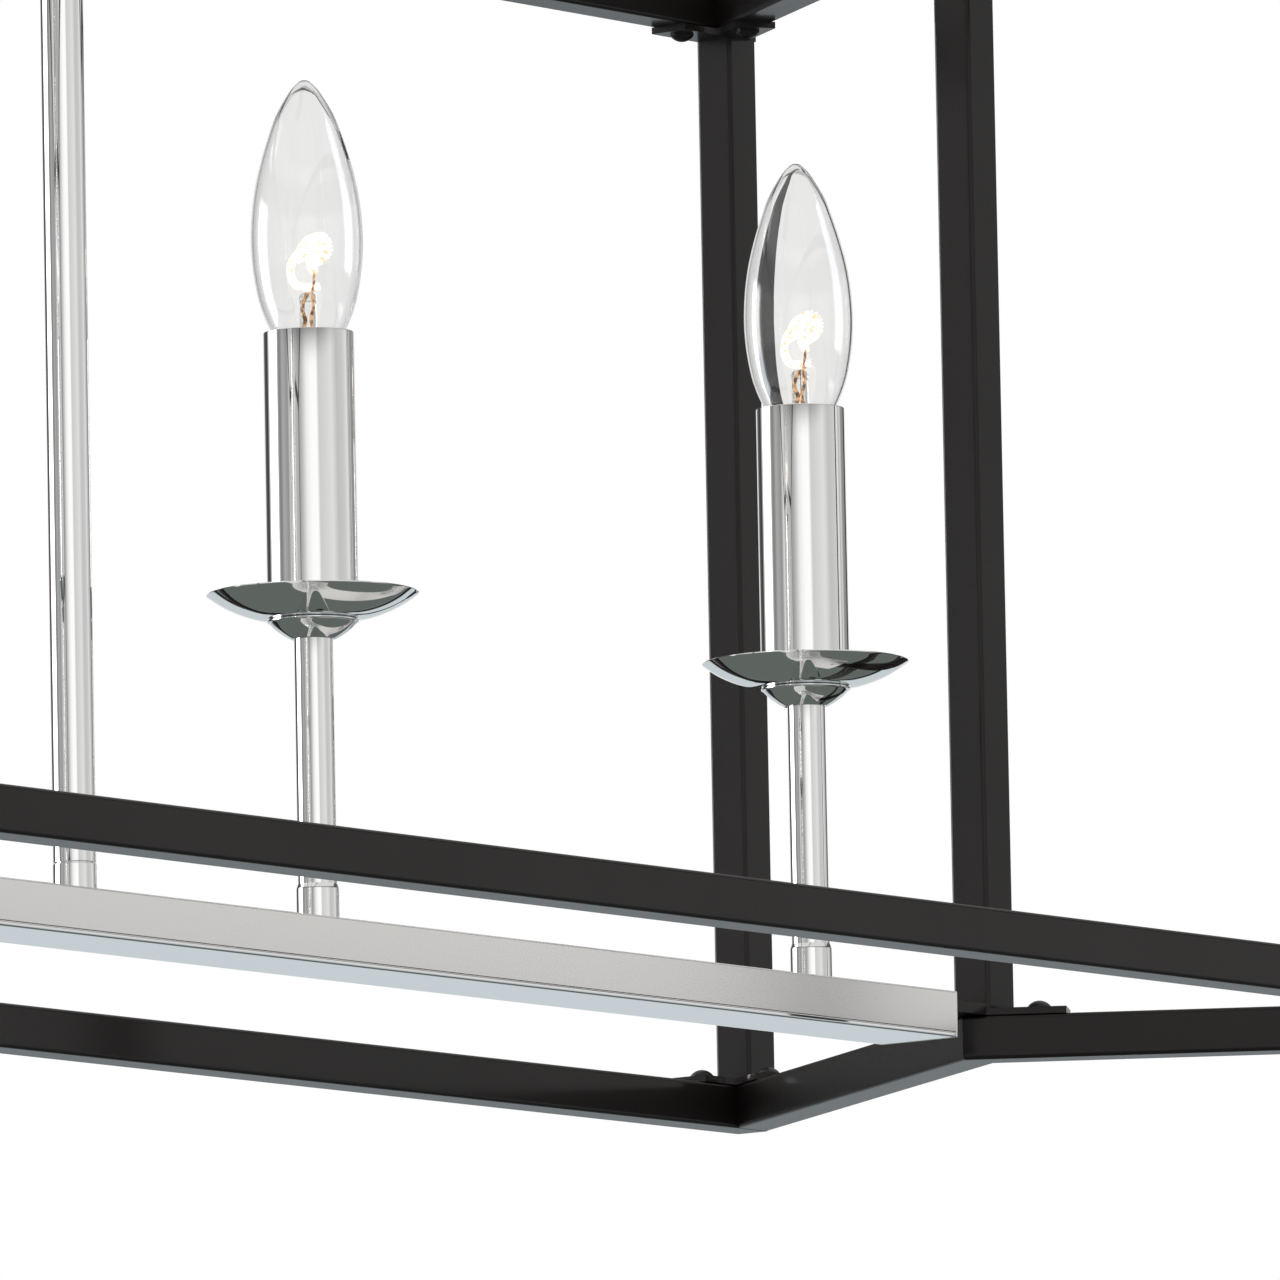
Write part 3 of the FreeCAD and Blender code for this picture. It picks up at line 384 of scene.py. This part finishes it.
def lathe(profile, x, closed=True, sides=128):
    """A profile of (radius, height) turned about an upright axis at x: (x + r cos a, r sin a, h)."""
    profile = np.asarray(profile, float)
    angle = np.linspace(0, 2 * np.pi, sides, endpoint=False)
    radius, height = profile[:, :1], profile[:, 1:]
    points = np.stack((x + radius * np.cos(angle), radius * np.sin(angle),
                       np.broadcast_to(height, (len(profile), sides))), axis=-1)
    return sheet_of(points, wrap_rows=closed, wrap_columns=True)


def softened(corners, radius, steps=5):
    """A closed profile with each corner rounded: a quadratic curve from one side to the next."""
    corners = np.asarray(corners, float)
    before, after = np.roll(corners, 1, axis=0) - corners, np.roll(corners, -1, axis=0) - corners
    reach = np.minimum(radius, 0.45 * np.minimum(np.linalg.norm(before, axis=1),
                                                 np.linalg.norm(after, axis=1)))[:, None]
    start = corners + before / np.linalg.norm(before, axis=1)[:, None] * reach
    end = corners + after / np.linalg.norm(after, axis=1)[:, None] * reach
    t = np.linspace(0, 1, steps)[:, None, None]
    curve = (1 - t) ** 2 * start + 2 * t * (1 - t) * corners + t ** 2 * end
    return curve.transpose(1, 0, 2).reshape(-1, 2)


def smooth_line(points, count):
    """A smooth open line through points: cubic pieces whose slopes come from their neighbours."""
    points = np.asarray(points, float)
    gaps = np.linalg.norm(np.diff(points, axis=0), axis=1)
    place = np.concatenate(([0], np.cumsum(gaps)))
    slope = np.gradient(points, place, axis=0)
    t = np.linspace(0, place[-1], count)
    left = np.clip(np.searchsorted(place, t, side="right") - 1, 0, len(gaps) - 1)
    u = ((t - place[left]) / gaps[left])[:, None]
    span = gaps[left][:, None]
    return ((2 * u ** 3 - 3 * u ** 2 + 1) * points[left]
            + (u ** 3 - 2 * u ** 2 + u) * span * slope[left]
            + (3 * u ** 2 - 2 * u ** 3) * points[left + 1]
            + (u ** 3 - u ** 2) * span * slope[left + 1])


SLANTED = (0.31, 0.87, 0.38)         # a direction that no wire runs along


def tube_along(path, radius, sides=10):
    """A round tube along a path: rings square to the path's direction, closed at both ends."""
    path = np.asarray(path, float)
    along = np.gradient(path, axis=0)
    along /= np.linalg.norm(along, axis=1)[:, None]
    side = np.cross(along, SLANTED)
    side /= np.linalg.norm(side, axis=1)[:, None]
    other = np.cross(along, side)
    angle = np.linspace(0, 2 * np.pi, sides, endpoint=False)[None, :, None]
    ring = side[:, None] * np.cos(angle) + other[:, None] * np.sin(angle)
    path = np.vstack((path[:1], path, path[-1:]))
    ring = np.vstack((ring[:1], ring, ring[-1:]))
    size = np.concatenate(([0.0], np.full(len(ring) - 2, float(radius)), [0.0]))
    return sheet_of(path[:, None] + ring * size[:, None, None], wrap_columns=True)


def merged_copy(node, finish, edge=0.0):
    """A frame node's own shape with its loose triangles joined, its edges rounded by edge millimetres,
    its rounded faces shaded smooth and its large faces shaded flat."""
    mesh = frame["nodes"][node].data.copy()
    tidy = bmesh.new()
    tidy.from_mesh(mesh)
    bmesh.ops.remove_doubles(tidy, verts=tidy.verts, dist=COPY_JOIN_REACH)
    bmesh.ops.dissolve_limit(tidy, angle_limit=math.radians(0.5), verts=tidy.verts,
                             edges=tidy.edges)
    tidy.to_mesh(mesh)
    tidy.free()
    mesh.materials.clear()
    made = dressed(node + "_skin", mesh, finish, node, COPY_CREASE)
    if edge:
        bevel = made.modifiers.new("rounded_edges", "BEVEL")
        bevel.width, bevel.segments, bevel.limit_method = edge * MM, 4, "ANGLE"
        bevel.angle_limit = math.radians(50)
    flat = made.modifiers.new("flat_faces_stay_flat", "WEIGHTED_NORMAL")
    flat.mode, flat.weight, flat.keep_sharp = "FACE_AREA", 60, True


for name in sorted(frame["nodes"]):
    if SLOT_OF[name] == "satin_black":
        merged_copy(name, FINISHES["satin_black"])
for name, finish, edge in (("wiring_bar", SATIN_CHROME, 0.0), ("bar_cover", FINISHES["chrome"], 0.85),
                           ("bar_end_caps", SATIN_CHROME, 0.3), ("canopy", FINISHES["chrome"], 0.4)):
    merged_copy(name, finish, edge)


# ---- chrome pieces of the candles ----------------------------------------------------------------

CHROME = FINISHES["chrome"]
PLATE = 0.9                          # sheet of the cups and dishes
HOLE = 4.85                          # radius of what goes round the threaded nipples
STEM_SIZE, STEM_BORE = 11.0, 9.8
SLEEVE_SIZE, SLEEVE_BORE = 25.8, 24.2
COLLAR_RADIUS, COLLAR_LIP, COLLAR_BORE = 6.05, 5.65, 5.55
BAR_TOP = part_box("wiring_bar")[1].z / MM
COLLAR_SEAT = BAR_TOP + 6.5
COLLAR_BEND = BAR_TOP + 9.7          # where its side draws in towards its lip
COLLAR_TOP = BAR_TOP + 11.0
STEM_TOP = BAR_TOP + 80.4
CUP_TOP = STEM_TOP + 5.5
DISH_FLOOR = CUP_TOP + PLATE
SLEEVE_TOP = DISH_FLOOR + 80.7


def pipe(outer, inner, low, high, rounding):
    """Closed profile of a pipe with softened edges."""
    return softened([(inner / 2, low), (outer / 2, low), (outer / 2, high), (inner / 2, high)], rounding)


def raised(height, *points):
    """Points of a profile given by their radius and their height over a level."""
    return [(radius, height + rise) for radius, rise in points]


def chrome_set(name, node, profile, places, **settings):
    """The same chrome profile turned at each place, as one piece that stands for a frame node."""
    piece(name, [lathe(profile, x, **settings) for x in places], CHROME, node)


chrome_set("stems", "candle_stems", pipe(STEM_SIZE, STEM_BORE, COLLAR_SEAT, STEM_TOP, 0.1), CANDLES)
chrome_set("sleeves", "candle_sleeves", pipe(SLEEVE_SIZE, SLEEVE_BORE, DISH_FLOOR, SLEEVE_TOP, 0.25),
           CANDLES)
collar = softened([(HOLE, BAR_TOP), (COLLAR_RADIUS, BAR_TOP), (COLLAR_RADIUS, COLLAR_BEND),
                   (COLLAR_LIP, COLLAR_TOP), (COLLAR_BORE, COLLAR_TOP), (COLLAR_BORE, COLLAR_SEAT),
                   (HOLE, COLLAR_SEAT)], 0.25)
chrome_set("collars", "candle_collars", collar, CANDLES)

cup_under = smooth_line(raised(STEM_TOP, (6.2, 0), (8.6, 1.35), (10.8, 2.95), (12.35, 4.5)), 24)
cup_lip = smooth_line([*raised(STEM_TOP, (12.45, 4.6), (12.95, 4.85), (12.95, 5.3)), (12.6, CUP_TOP)], 14)
cup_inside = [(HOLE, CUP_TOP), (HOLE, CUP_TOP - PLATE), (11.0, CUP_TOP - PLATE),
              *raised(STEM_TOP, (8.0, 2.1), (6.2, PLATE), (HOLE, PLATE))]
cup = np.vstack(([(HOLE, STEM_TOP)], cup_under, cup_lip, cup_inside))
chrome_set("cups", "candle_cups", cup, CANDLES)

dish_under = smooth_line(raised(CUP_TOP, (12.35, 0), (16.5, 0.75), (21.5, 2.35), (26.2, 4.65),
                                (29.75, 7.0)), 40)
dish_rim = raised(CUP_TOP, (30.0, 7.2), (29.95, 7.4), (29.6, 7.55))
dish_upper = smooth_line(raised(CUP_TOP, (29.2, 7.45), (25.8, 5.3), (21.1, 3.1), (16.3, 1.6),
                                (13.1, PLATE)), 32)
dish = np.vstack(([(HOLE, CUP_TOP)], dish_under, dish_rim, dish_upper, [(HOLE, DISH_FLOOR)]))
chrome_set("dishes", "candle_dishes", dish, CANDLES, sides=192)


# ---- hanging rods -------------------------------------------------------------------------------

ROD_SIZE, ROD_BORE = 12.0, 9.8
ROD_TOP = -34.0
ROD_JOINT = ROD_TOP - 305.0
SHADOW_GAP = 0.4                     # between a rod's collar and the rod
SHADOW_RADIUS = 5.5                  # of the thinner neck in that gap
ROD_COLLAR_RADIUS = 6.1
ROD_FOOT = ROD_JOINT - 342.0 - SHADOW_GAP
ROD_COLLAR_TOP = ROD_FOOT - SHADOW_GAP
rod_collar = softened([(HOLE, BAR_TOP), (ROD_COLLAR_RADIUS, BAR_TOP), (ROD_COLLAR_RADIUS, ROD_COLLAR_TOP),
                       (SHADOW_RADIUS, ROD_COLLAR_TOP), (SHADOW_RADIUS, ROD_FOOT),
                       (HOLE, ROD_FOOT)], 0.12)
chrome_set("rod_feet", "rod_collars", rod_collar, RODS)
chrome_set("rods_lower", "lower_rods", pipe(ROD_SIZE, ROD_BORE, ROD_FOOT, ROD_JOINT, 0.15), RODS)
chrome_set("rods_upper", "upper_rods", pipe(ROD_SIZE, ROD_BORE, ROD_JOINT, ROD_TOP, 0.15), RODS)


def arc(radius, first, last, count, middle):
    """Points of a circle about the middle, by angle in degrees from the level outward direction."""
    angle = np.radians(np.linspace(first, last, count))
    return np.stack((middle[0] + radius * np.cos(angle), middle[1] + radius * np.sin(angle)), axis=1)


BALL_Z = -22.0
BALL_RADIUS = 9.0
BALL_FLAT = 6.5                      # height of the ball's flat top over its middle
NECK_RADIUS, NECK_BORE, NECK_LENGTH = 4.75, 3.5, 10.0
neck_angle = math.degrees(math.acos(NECK_RADIUS / BALL_RADIUS))
top_angle = math.degrees(math.asin(BALL_FLAT / BALL_RADIUS))
ball = np.vstack(([(NECK_BORE, ROD_TOP - NECK_LENGTH), (NECK_RADIUS, ROD_TOP - NECK_LENGTH)],
                  arc(BALL_RADIUS, -neck_angle, top_angle, 48, (0, BALL_Z)),
                  [(NECK_BORE, BALL_Z + BALL_FLAT)]))
chrome_set("swivel_ball_pair", "swivel_balls", ball, RODS)

SEAT_HOLLOW = 9.05                   # radius of the hollow that the ball turns in
SEAT_MOUTH = 7.6                     # radius of its lower mouth
SEAT_TOP = 1.5                       # height of its top over the ball's middle
SEAT_DROP = 7.0                      # depth of its foot under the ball's middle
SEAT_WALL, FLANGE_EDGE = 11.0, 15.0
SEAT_FOOT_BORE, SEAT_FOOT, FOOT_ROUNDING = 8.5, 9.8, 1.2
FLANGE_LOW, FLANGE_HIGH = -24.0, -22.5
mouth_angle = math.degrees(math.acos(SEAT_MOUTH / SEAT_HOLLOW))
seat_top_angle = math.degrees(math.asin(SEAT_TOP / SEAT_HOLLOW))
seat = np.vstack(([(SEAT_FOOT_BORE, BALL_Z - SEAT_DROP), (SEAT_FOOT, BALL_Z - SEAT_DROP)],
                  arc(FOOT_ROUNDING, -70, 0, 8, (SEAT_FOOT, BALL_Z - SEAT_DROP + FOOT_ROUNDING)),
                  [(SEAT_WALL, FLANGE_LOW), (FLANGE_EDGE, FLANGE_LOW), (FLANGE_EDGE, FLANGE_HIGH),
                   (SEAT_WALL, FLANGE_HIGH), (SEAT_WALL, BALL_Z + SEAT_TOP)],
                  arc(SEAT_HOLLOW, seat_top_angle, -mouth_angle, 24, (0, BALL_Z))))
chrome_set("swivel_seat_pair", "swivel_seats", seat, RODS)

KNOB_FOOT, CANOPY_UNDER = -34.0, -25.0
KNOB_RADIUS, KNOB_BORE = 7.0, 2.6
knob_crown = smooth_line(raised(KNOB_FOOT, (0.4, 0), (3.6, 0.85), (6.0, 2.4), (KNOB_RADIUS, 4.2)), 16)
knob_side = softened([(KNOB_RADIUS, KNOB_FOOT + 4.4), (KNOB_RADIUS, CANOPY_UNDER),
                      (KNOB_BORE, CANOPY_UNDER)], 0.3)[2:-2]
knob = np.vstack(([(0.0, KNOB_FOOT)], knob_crown, knob_side,
                  [(KNOB_BORE, CANOPY_UNDER), *raised(KNOB_FOOT, (KNOB_BORE, 2.0), (0.0, 2.0))]))
chrome_set("cap_knobs", "canopy_knobs", knob, STUDS, closed=False)


# ---- bulbs ---------------------------------------------------------------------------------------

BASE_TOP = SLEEVE_TOP - 8.5
GLASS_NECK = 4.8                     # radius of the glass neck in the base
NECK_FOOT = BASE_TOP - 2.75
GLASS_HEIGHT = 80.6
TIP = BASE_TOP + GLASS_HEIGHT
GLASS_WALL, SHOULDER_WALL, TIP_WALL = 0.7, 0.8, 1.1

# The glass by its radius at some depths below the tip, LINE_HEIGHT in all, which are then stretched to
# the bulb's own height.
LINE_HEIGHT = 78.0
GLASS_LINE = [(0.0, 0.0), (1.0, 0.12), (1.95, 0.75), (3.15, 1.85), (4.35, 3.3), (5.3, 4.75), (7.05, 7.6),
              (8.5, 10.4), (10.65, 16.1), (12.5, 21.8), (14.0, 27.5), (15.05, 33.2), (15.65, 38.9),
              (15.87, 44.6), (15.6, 50.3), (14.85, 56.0), (13.6, 61.7), (11.4, 67.4), (9.2, 71.6),
              (6.9, 75.6), (5.75, 77.4), (5.5, LINE_HEIGHT)]


def bulb_glass_profile():
    """The outside from the tip down into the base, then the inside, a wall's thickness in, back up."""
    outside = smooth_line(GLASS_LINE, 110)
    outside[:, 1] = TIP - outside[:, 1] * (GLASS_HEIGHT / LINE_HEIGHT)
    step = np.gradient(outside, axis=0)
    inward = np.stack((step[:, 1], -step[:, 0]), axis=1)
    inward /= np.linalg.norm(inward, axis=1)[:, None]
    wall = np.interp(outside[:, 1], [BASE_TOP, TIP - 12.0, TIP - 3.0, TIP],
                     [GLASS_WALL, GLASS_WALL, SHOULDER_WALL, TIP_WALL])
    inside = outside + inward * wall[:, None]
    inside[:, 0] = np.clip(inside[:, 0], 0.0, None)
    neck_out, neck_in = GLASS_NECK, GLASS_NECK - GLASS_WALL
    neck = [(neck_out, BASE_TOP), (neck_out, NECK_FOOT), (neck_in, NECK_FOOT), (neck_in, BASE_TOP + 0.4)]
    return np.vstack((outside, neck, inside[inside[:, 1] > BASE_TOP + 0.6][::-1][:-1],
                      [(0.0, TIP - TIP_WALL)]))


def bulb_stem_profile():
    """Flared glass foot in the neck, drawn in to a thick stem with a pinched top."""
    outline = raised(BASE_TOP, (4.0, -2.75), (4.0, -1.6), (3.4, 1.5), (2.7, 5.0), (2.35, 9.0),
                     (2.45, 13.0), (2.25, 17.0), (2.4, 19.0), (1.5, 19.9), (0.4, 20.0))
    return np.vstack(([(0.0, NECK_FOOT)], smooth_line(outline, 50), [(0.0, BASE_TOP + 20.0)]))


# The filament's bent line: level place across the bulb, depth, height over the base, and the radius of
# the coil there.
FILAMENT_LINE = [(3.4, 0.6, 21.8, 0.7), (0.2, 0.7, 21.7, 0.8), (-3.2, 0.5, 22.3, 0.85),
                 (-4.7, 0.2, 25.2, 0.85), (-4.3, 0.0, 28.6, 0.9), (-1.7, -0.7, 30.9, 1.7),
                 (0.9, -0.7, 34.0, 1.9), (4.4, 0.3, 35.0, 1.8), (5.2, 0.9, 32.2, 1.8),
                 (3.2, 0.9, 30.0, 1.8), (1.4, 0.3, 28.8, 1.5), (2.0, 0.2, 25.6, 0.8)]
COIL_TURNS = 54
COIL_WIRE_RADIUS, LEAD_RADIUS = 0.36, 0.38
LEAD_LINES = [[(-1.1, 0, 9.0), (-0.5, 0.3, 12.0), (-1.1, 0.1, 15.5), (-0.4, 0, 18.6), (1.4, 0.4, 20.6),
               (3.4, 0.6, 21.8)],
              [(1.1, 0, 9.0), (0.6, -0.4, 12.5), (1.2, -0.1, 16.0), (1.0, 0, 19.0), (1.7, -0.2, 22.5),
               (2.0, 0.2, 25.8)]]
BULB_TURNS = (-20, 15, 100, -52, -75)  # degrees by which each bulb's filament is turned


def filament_coil(x, turn):
    """A fine coil wound round a bent line: the angle round the line grows evenly from its start to its
    end, at the line's own coil radius."""
    smooth = smooth_line(FILAMENT_LINE, 1700)
    line, radius = smooth[:, :3], smooth[:, 3:]
    direction = np.gradient(line, axis=0)
    direction /= np.linalg.norm(direction, axis=1)[:, None]
    side = np.cross(direction, (0.1, 1.0, 0.2))
    side /= np.linalg.norm(side, axis=1)[:, None]
    other = np.cross(direction, side)
    phase = np.linspace(0, COIL_TURNS * 2 * np.pi, len(line))[:, None]
    return spun(line + radius * (side * np.cos(phase) + other * np.sin(phase)), x, turn)


def spun(points, x, turn):
    """Points about the bulb's own axis, turned by an angle and moved to the candle at x."""
    angle = math.radians(turn)
    points = np.asarray(points, float)
    return np.stack((x + points[:, 0] * math.cos(angle) - points[:, 1] * math.sin(angle),
                     points[:, 0] * math.sin(angle) + points[:, 1] * math.cos(angle),
                     BASE_TOP + points[:, 2]), axis=1)


def screw_base(x):
    """Rolled thread: the radius swings once from valley to crest and back in each pitch of height, less
    the angle's share of a turn, so that the ridges climb as a helix. They fade at both ends."""
    pitch, crest, valley = 2.54, 5.95, 5.42
    low, high = BASE_TOP - 16.7, BASE_TOP
    foot, roof_height, bore, curled_in = low - 3.27, high - 15.5, 4.85, 0.25
    rows, sides = 160, 96
    height = np.linspace(low, high, rows)[:, None]
    angle = np.linspace(0, 2 * np.pi, sides, endpoint=False)[None, :]
    ridge = 0.5 - 0.5 * np.cos(2 * np.pi * (height - low) / pitch - angle)
    fade = np.clip((height - low) / 1.5, 0, 1) * np.clip((high - 2.2 - height) / 1.2, 0, 1)
    radius = valley + (crest - valley) * ridge * fade
    radius[-1] -= curled_in

    def rings(radii, heights):
        """Rings about the bulb's axis, one row each: (x + r cos a, r sin a, h)."""
        return np.stack((x + radii * np.cos(angle), radii * np.sin(angle), heights + angle * 0), axis=-1)

    closing = np.array([(0.0, foot), (2.8, foot), (4.4, low - 1.6)])
    inner = np.array([(bore, high), (bore, roof_height), (0.0, roof_height)])
    return sheet_of(np.vstack((rings(closing[:, :1], closing[:, 1:]), rings(radius, height),
                               rings(inner[:, :1], inner[:, 1:]))), wrap_columns=True)


for number, (x, turn) in enumerate(zip(CANDLES, BULB_TURNS), start=1):
    piece(f"bulb_envelope_{number}", [lathe(bulb_glass_profile(), x, closed=False, sides=144),
                                      lathe(bulb_stem_profile(), x, closed=False, sides=48)],
          FINISHES["clear_glass"], f"bulb_glass_{number}")
    piece(f"bulb_coil_{number}", [tube_along(filament_coil(x, turn), COIL_WIRE_RADIUS, 8)],
          FINISHES["filament"], f"bulb_filament_{number}")
    leads = [tube_along(spun(smooth_line(line, 60), x, turn), LEAD_RADIUS) for line in LEAD_LINES]
    piece(f"bulb_leads_{number}", leads, LEAD_WIRE, f"bulb_filament_{number}")
    piece(f"bulb_screw_{number}", [screw_base(x)], FINISHES["glass_base"], f"bulb_base_{number}")


# ---- studio --------------------------------------------------------------------------------------

# What the polished pieces see round them, level with the fixture: light levels by the angle in degrees
# from the camera's side, to the left below zero and to the right above it.
BACKDROP = 0.88
STUDIO_RING = [
    (-180, BACKDROP), (-160, 0.86),
    # black flag at the left edge
    (-152, 0.12), (-131, 0.035),
    # bright soft box on the left
    (-119, 1.0), (-116, 7.0), (-95, 9.0), (-90, 1.0),
    # dim wall with darker and lighter stands before it
    (-86, 0.34), (-81, 0.21), (-71, 0.43), (-57, 0.30), (-50, 0.78), (-41, 0.33), (-33, 0.52),
    (-26, 0.37),
    # large pale screen beside the camera
    (-17, 0.61), (-8, 0.90), (4, 1.05), (18, 1.06),
    # grey wall on the right
    (24, 0.65), (40, 0.71), (58, 0.79), (74, 0.56), (94, 0.62), (110, 0.80), (115, 0.40), (120, 0.74),
    # grey flag at the right edge
    (128, 0.32), (152, 0.18),
    (160, 0.86), (180, BACKDROP)]
PLAIN_LIGHT = 0.62
GLASS_VIEW = 0.4                     # share of plain white in what shows through glass
STUDIO_FLOOR = (0.118, 0.135, 0.125, 1)
SKIRTING = (0.01, 0.01, 0.01, 1)
LOW_WALL = (0.68, 0.73, 0.78, 1)     # tint of the walls below the fixture
FAR_WALL = (0.58, 0.635, 0.665, 1)   # the wall that undersides reflect
BROW = (0.10, 0.10, 0.10, 1)         # dark band above the walls
CEILING = (0.72, 0.72, 0.71, 1)

# Where these begin and end, by the direction's rise from level: -1 is straight down and 1 straight up.
FLOOR_EDGE, SKIRTING_EDGE, WALL_TURN = (-0.46, -0.43), (-0.40, -0.37), (-0.10, 0.0)
BROW_FOOT, CEILING_EDGE, BROW_HEAD = (0.24, 0.30), (0.35, 0.6), (0.42, 0.50)
FAR_SIDE = (-0.93, -0.78)            # the far wall's edge, by the direction's share towards the camera


def studio_world():
    """White to the camera, plain soft light on matt surfaces, and the studio's tones in polished ones."""
    world = bpy.data.worlds.new("studio")
    world.use_nodes = True
    bpy.context.scene.world = world
    finish = Finish(world.node_tree)
    direction = finish.node("ShaderNodeTexCoord", None, "Generated")
    toward = (-math.sin(CAMERA_HEADING), -math.cos(CAMERA_HEADING), 0)
    right = (math.cos(CAMERA_HEADING), -math.sin(CAMERA_HEADING), 0)
    angle = finish.dot(direction, right).math("ARCTAN2", finish.dot(direction, toward))
    stops = [((place + 180) / 360, (tone, tone * 0.995, tone * 0.985, 1))
             for place, tone in STUDIO_RING]
    ring = finish.node("ShaderNodeValToRGB", {"stops": stops}, 0, Fac=angle / (2 * math.pi) + 0.5)
    height = finish.dot(direction, (0, 0, 1))
    below = 1 - height.within(*FLOOR_EDGE)
    edge = height.within(*FLOOR_EDGE) * (1 - height.within(*SKIRTING_EDGE))
    above = height.within(*CEILING_EDGE)
    brow = height.within(*BROW_FOOT) * (1 - height.within(*BROW_HEAD))
    far = 1 - finish.dot(direction, toward).within(*FAR_SIDE)
    low = finish.mixed(far, finish.shaded(ring, LOW_WALL), FAR_WALL)
    studio = finish.mixed(1 - height.within(*WALL_TURN), ring, low)
    studio = finish.mixed(below, studio, STUDIO_FLOOR)
    studio = finish.mixed(above, studio, CEILING)
    studio = finish.mixed(edge, studio, SKIRTING)
    studio = finish.mixed(brow, studio, BROW)
    camera = finish.node("ShaderNodeLightPath", None, "Is Camera Ray")
    glossy = finish.node("ShaderNodeLightPath", None, "Is Glossy Ray")
    through = finish.node("ShaderNodeLightPath", None, "Is Transmission Ray")
    white, plain = (1, 1, 1, 1), (PLAIN_LIGHT, PLAIN_LIGHT, PLAIN_LIGHT, 1)
    seen = finish.mixed(glossy, plain, studio)
    seen = finish.mixed(through, seen, finish.mixed(GLASS_VIEW, studio, white))
    seen = finish.mixed(camera, seen, white)
    light = finish.node("ShaderNodeBackground", None, 0, Color=seen, Strength=1.0)
    output = world.node_tree.nodes.new("ShaderNodeOutputWorld")
    world.node_tree.links.new(light.socket, output.inputs["Surface"])


def soft_lamp(name, place, aim, width, watts):
    """A large square lamp of some width and power, aimed at a point. Matt surfaces see it and polished
    ones don't."""
    lamp = bpy.data.lights.new(name, "AREA")
    lamp.shape, lamp.size, lamp.energy = "SQUARE", width, watts
    thing = bpy.data.objects.new(name, lamp)
    thing.location = place
    thing.rotation_mode = "QUATERNION"
    thing.rotation_quaternion = (Vector(aim) - Vector(place)).to_track_quat("-Z", "Y")
    thing.visible_glossy = thing.visible_transmission = thing.visible_camera = False
    bpy.context.scene.collection.objects.link(thing)


def studio_floor():
    """A pale disc under the fixture, with its rim at (r cos a, r sin a, h) in metres. It keeps the shadow
    and is nearly white in the camera's view. Polished pieces see through it to the world's dark floor."""
    radius, drop, sides = 9.0, -2.3, 96
    angle = np.linspace(0, 2 * np.pi, sides, endpoint=False)
    rim = np.stack((radius * np.cos(angle), radius * np.sin(angle), np.full(sides, drop)), axis=1)
    mesh = bpy.data.meshes.new("floor")
    mesh.from_pydata(rim.tolist(), [], [list(range(sides))])
    floor = bpy.data.objects.new("floor", mesh)
    bpy.context.scene.collection.objects.link(floor)

    def pale(finish):
        """Lit and shadowed, whitened for the camera, and clear from below and in reflections."""
        lit = finish.node("ShaderNodeBsdfDiffuse", None, 0, Color=(0.82, 0.82, 0.82, 1))
        white = finish.node("ShaderNodeEmission", None, 0, Color=(1, 1, 1, 1), Strength=1.0)
        clear = finish.node("ShaderNodeBsdfTransparent", None, 0)
        camera = finish.node("ShaderNodeLightPath", None, "Is Camera Ray")
        glossy = finish.node("ShaderNodeLightPath", None, "Is Glossy Ray")
        under = finish.node("ShaderNodeNewGeometry", None, "Backfacing")
        seen = finish.node("ShaderNodeMixShader", None, 0, Fac=camera * 0.7, _1=lit, _2=white)
        hidden = under.math("MAXIMUM", glossy)
        return finish.node("ShaderNodeMixShader", None, 0, Fac=hidden, _1=seen, _2=clear)

    mesh.materials.append(material("pale_floor", pale))


studio_world()
studio_floor()
MIDDLE = (0, 0, -0.5)
soft_lamp("key_lamp", (-3.2, -1.2, 0.9), MIDDLE, width=1.8, watts=40)
soft_lamp("fill_lamp", (2.4, -3.0, -0.2), MIDDLE, width=2.0, watts=18)
bpy.context.scene.view_settings.view_transform = "Standard"
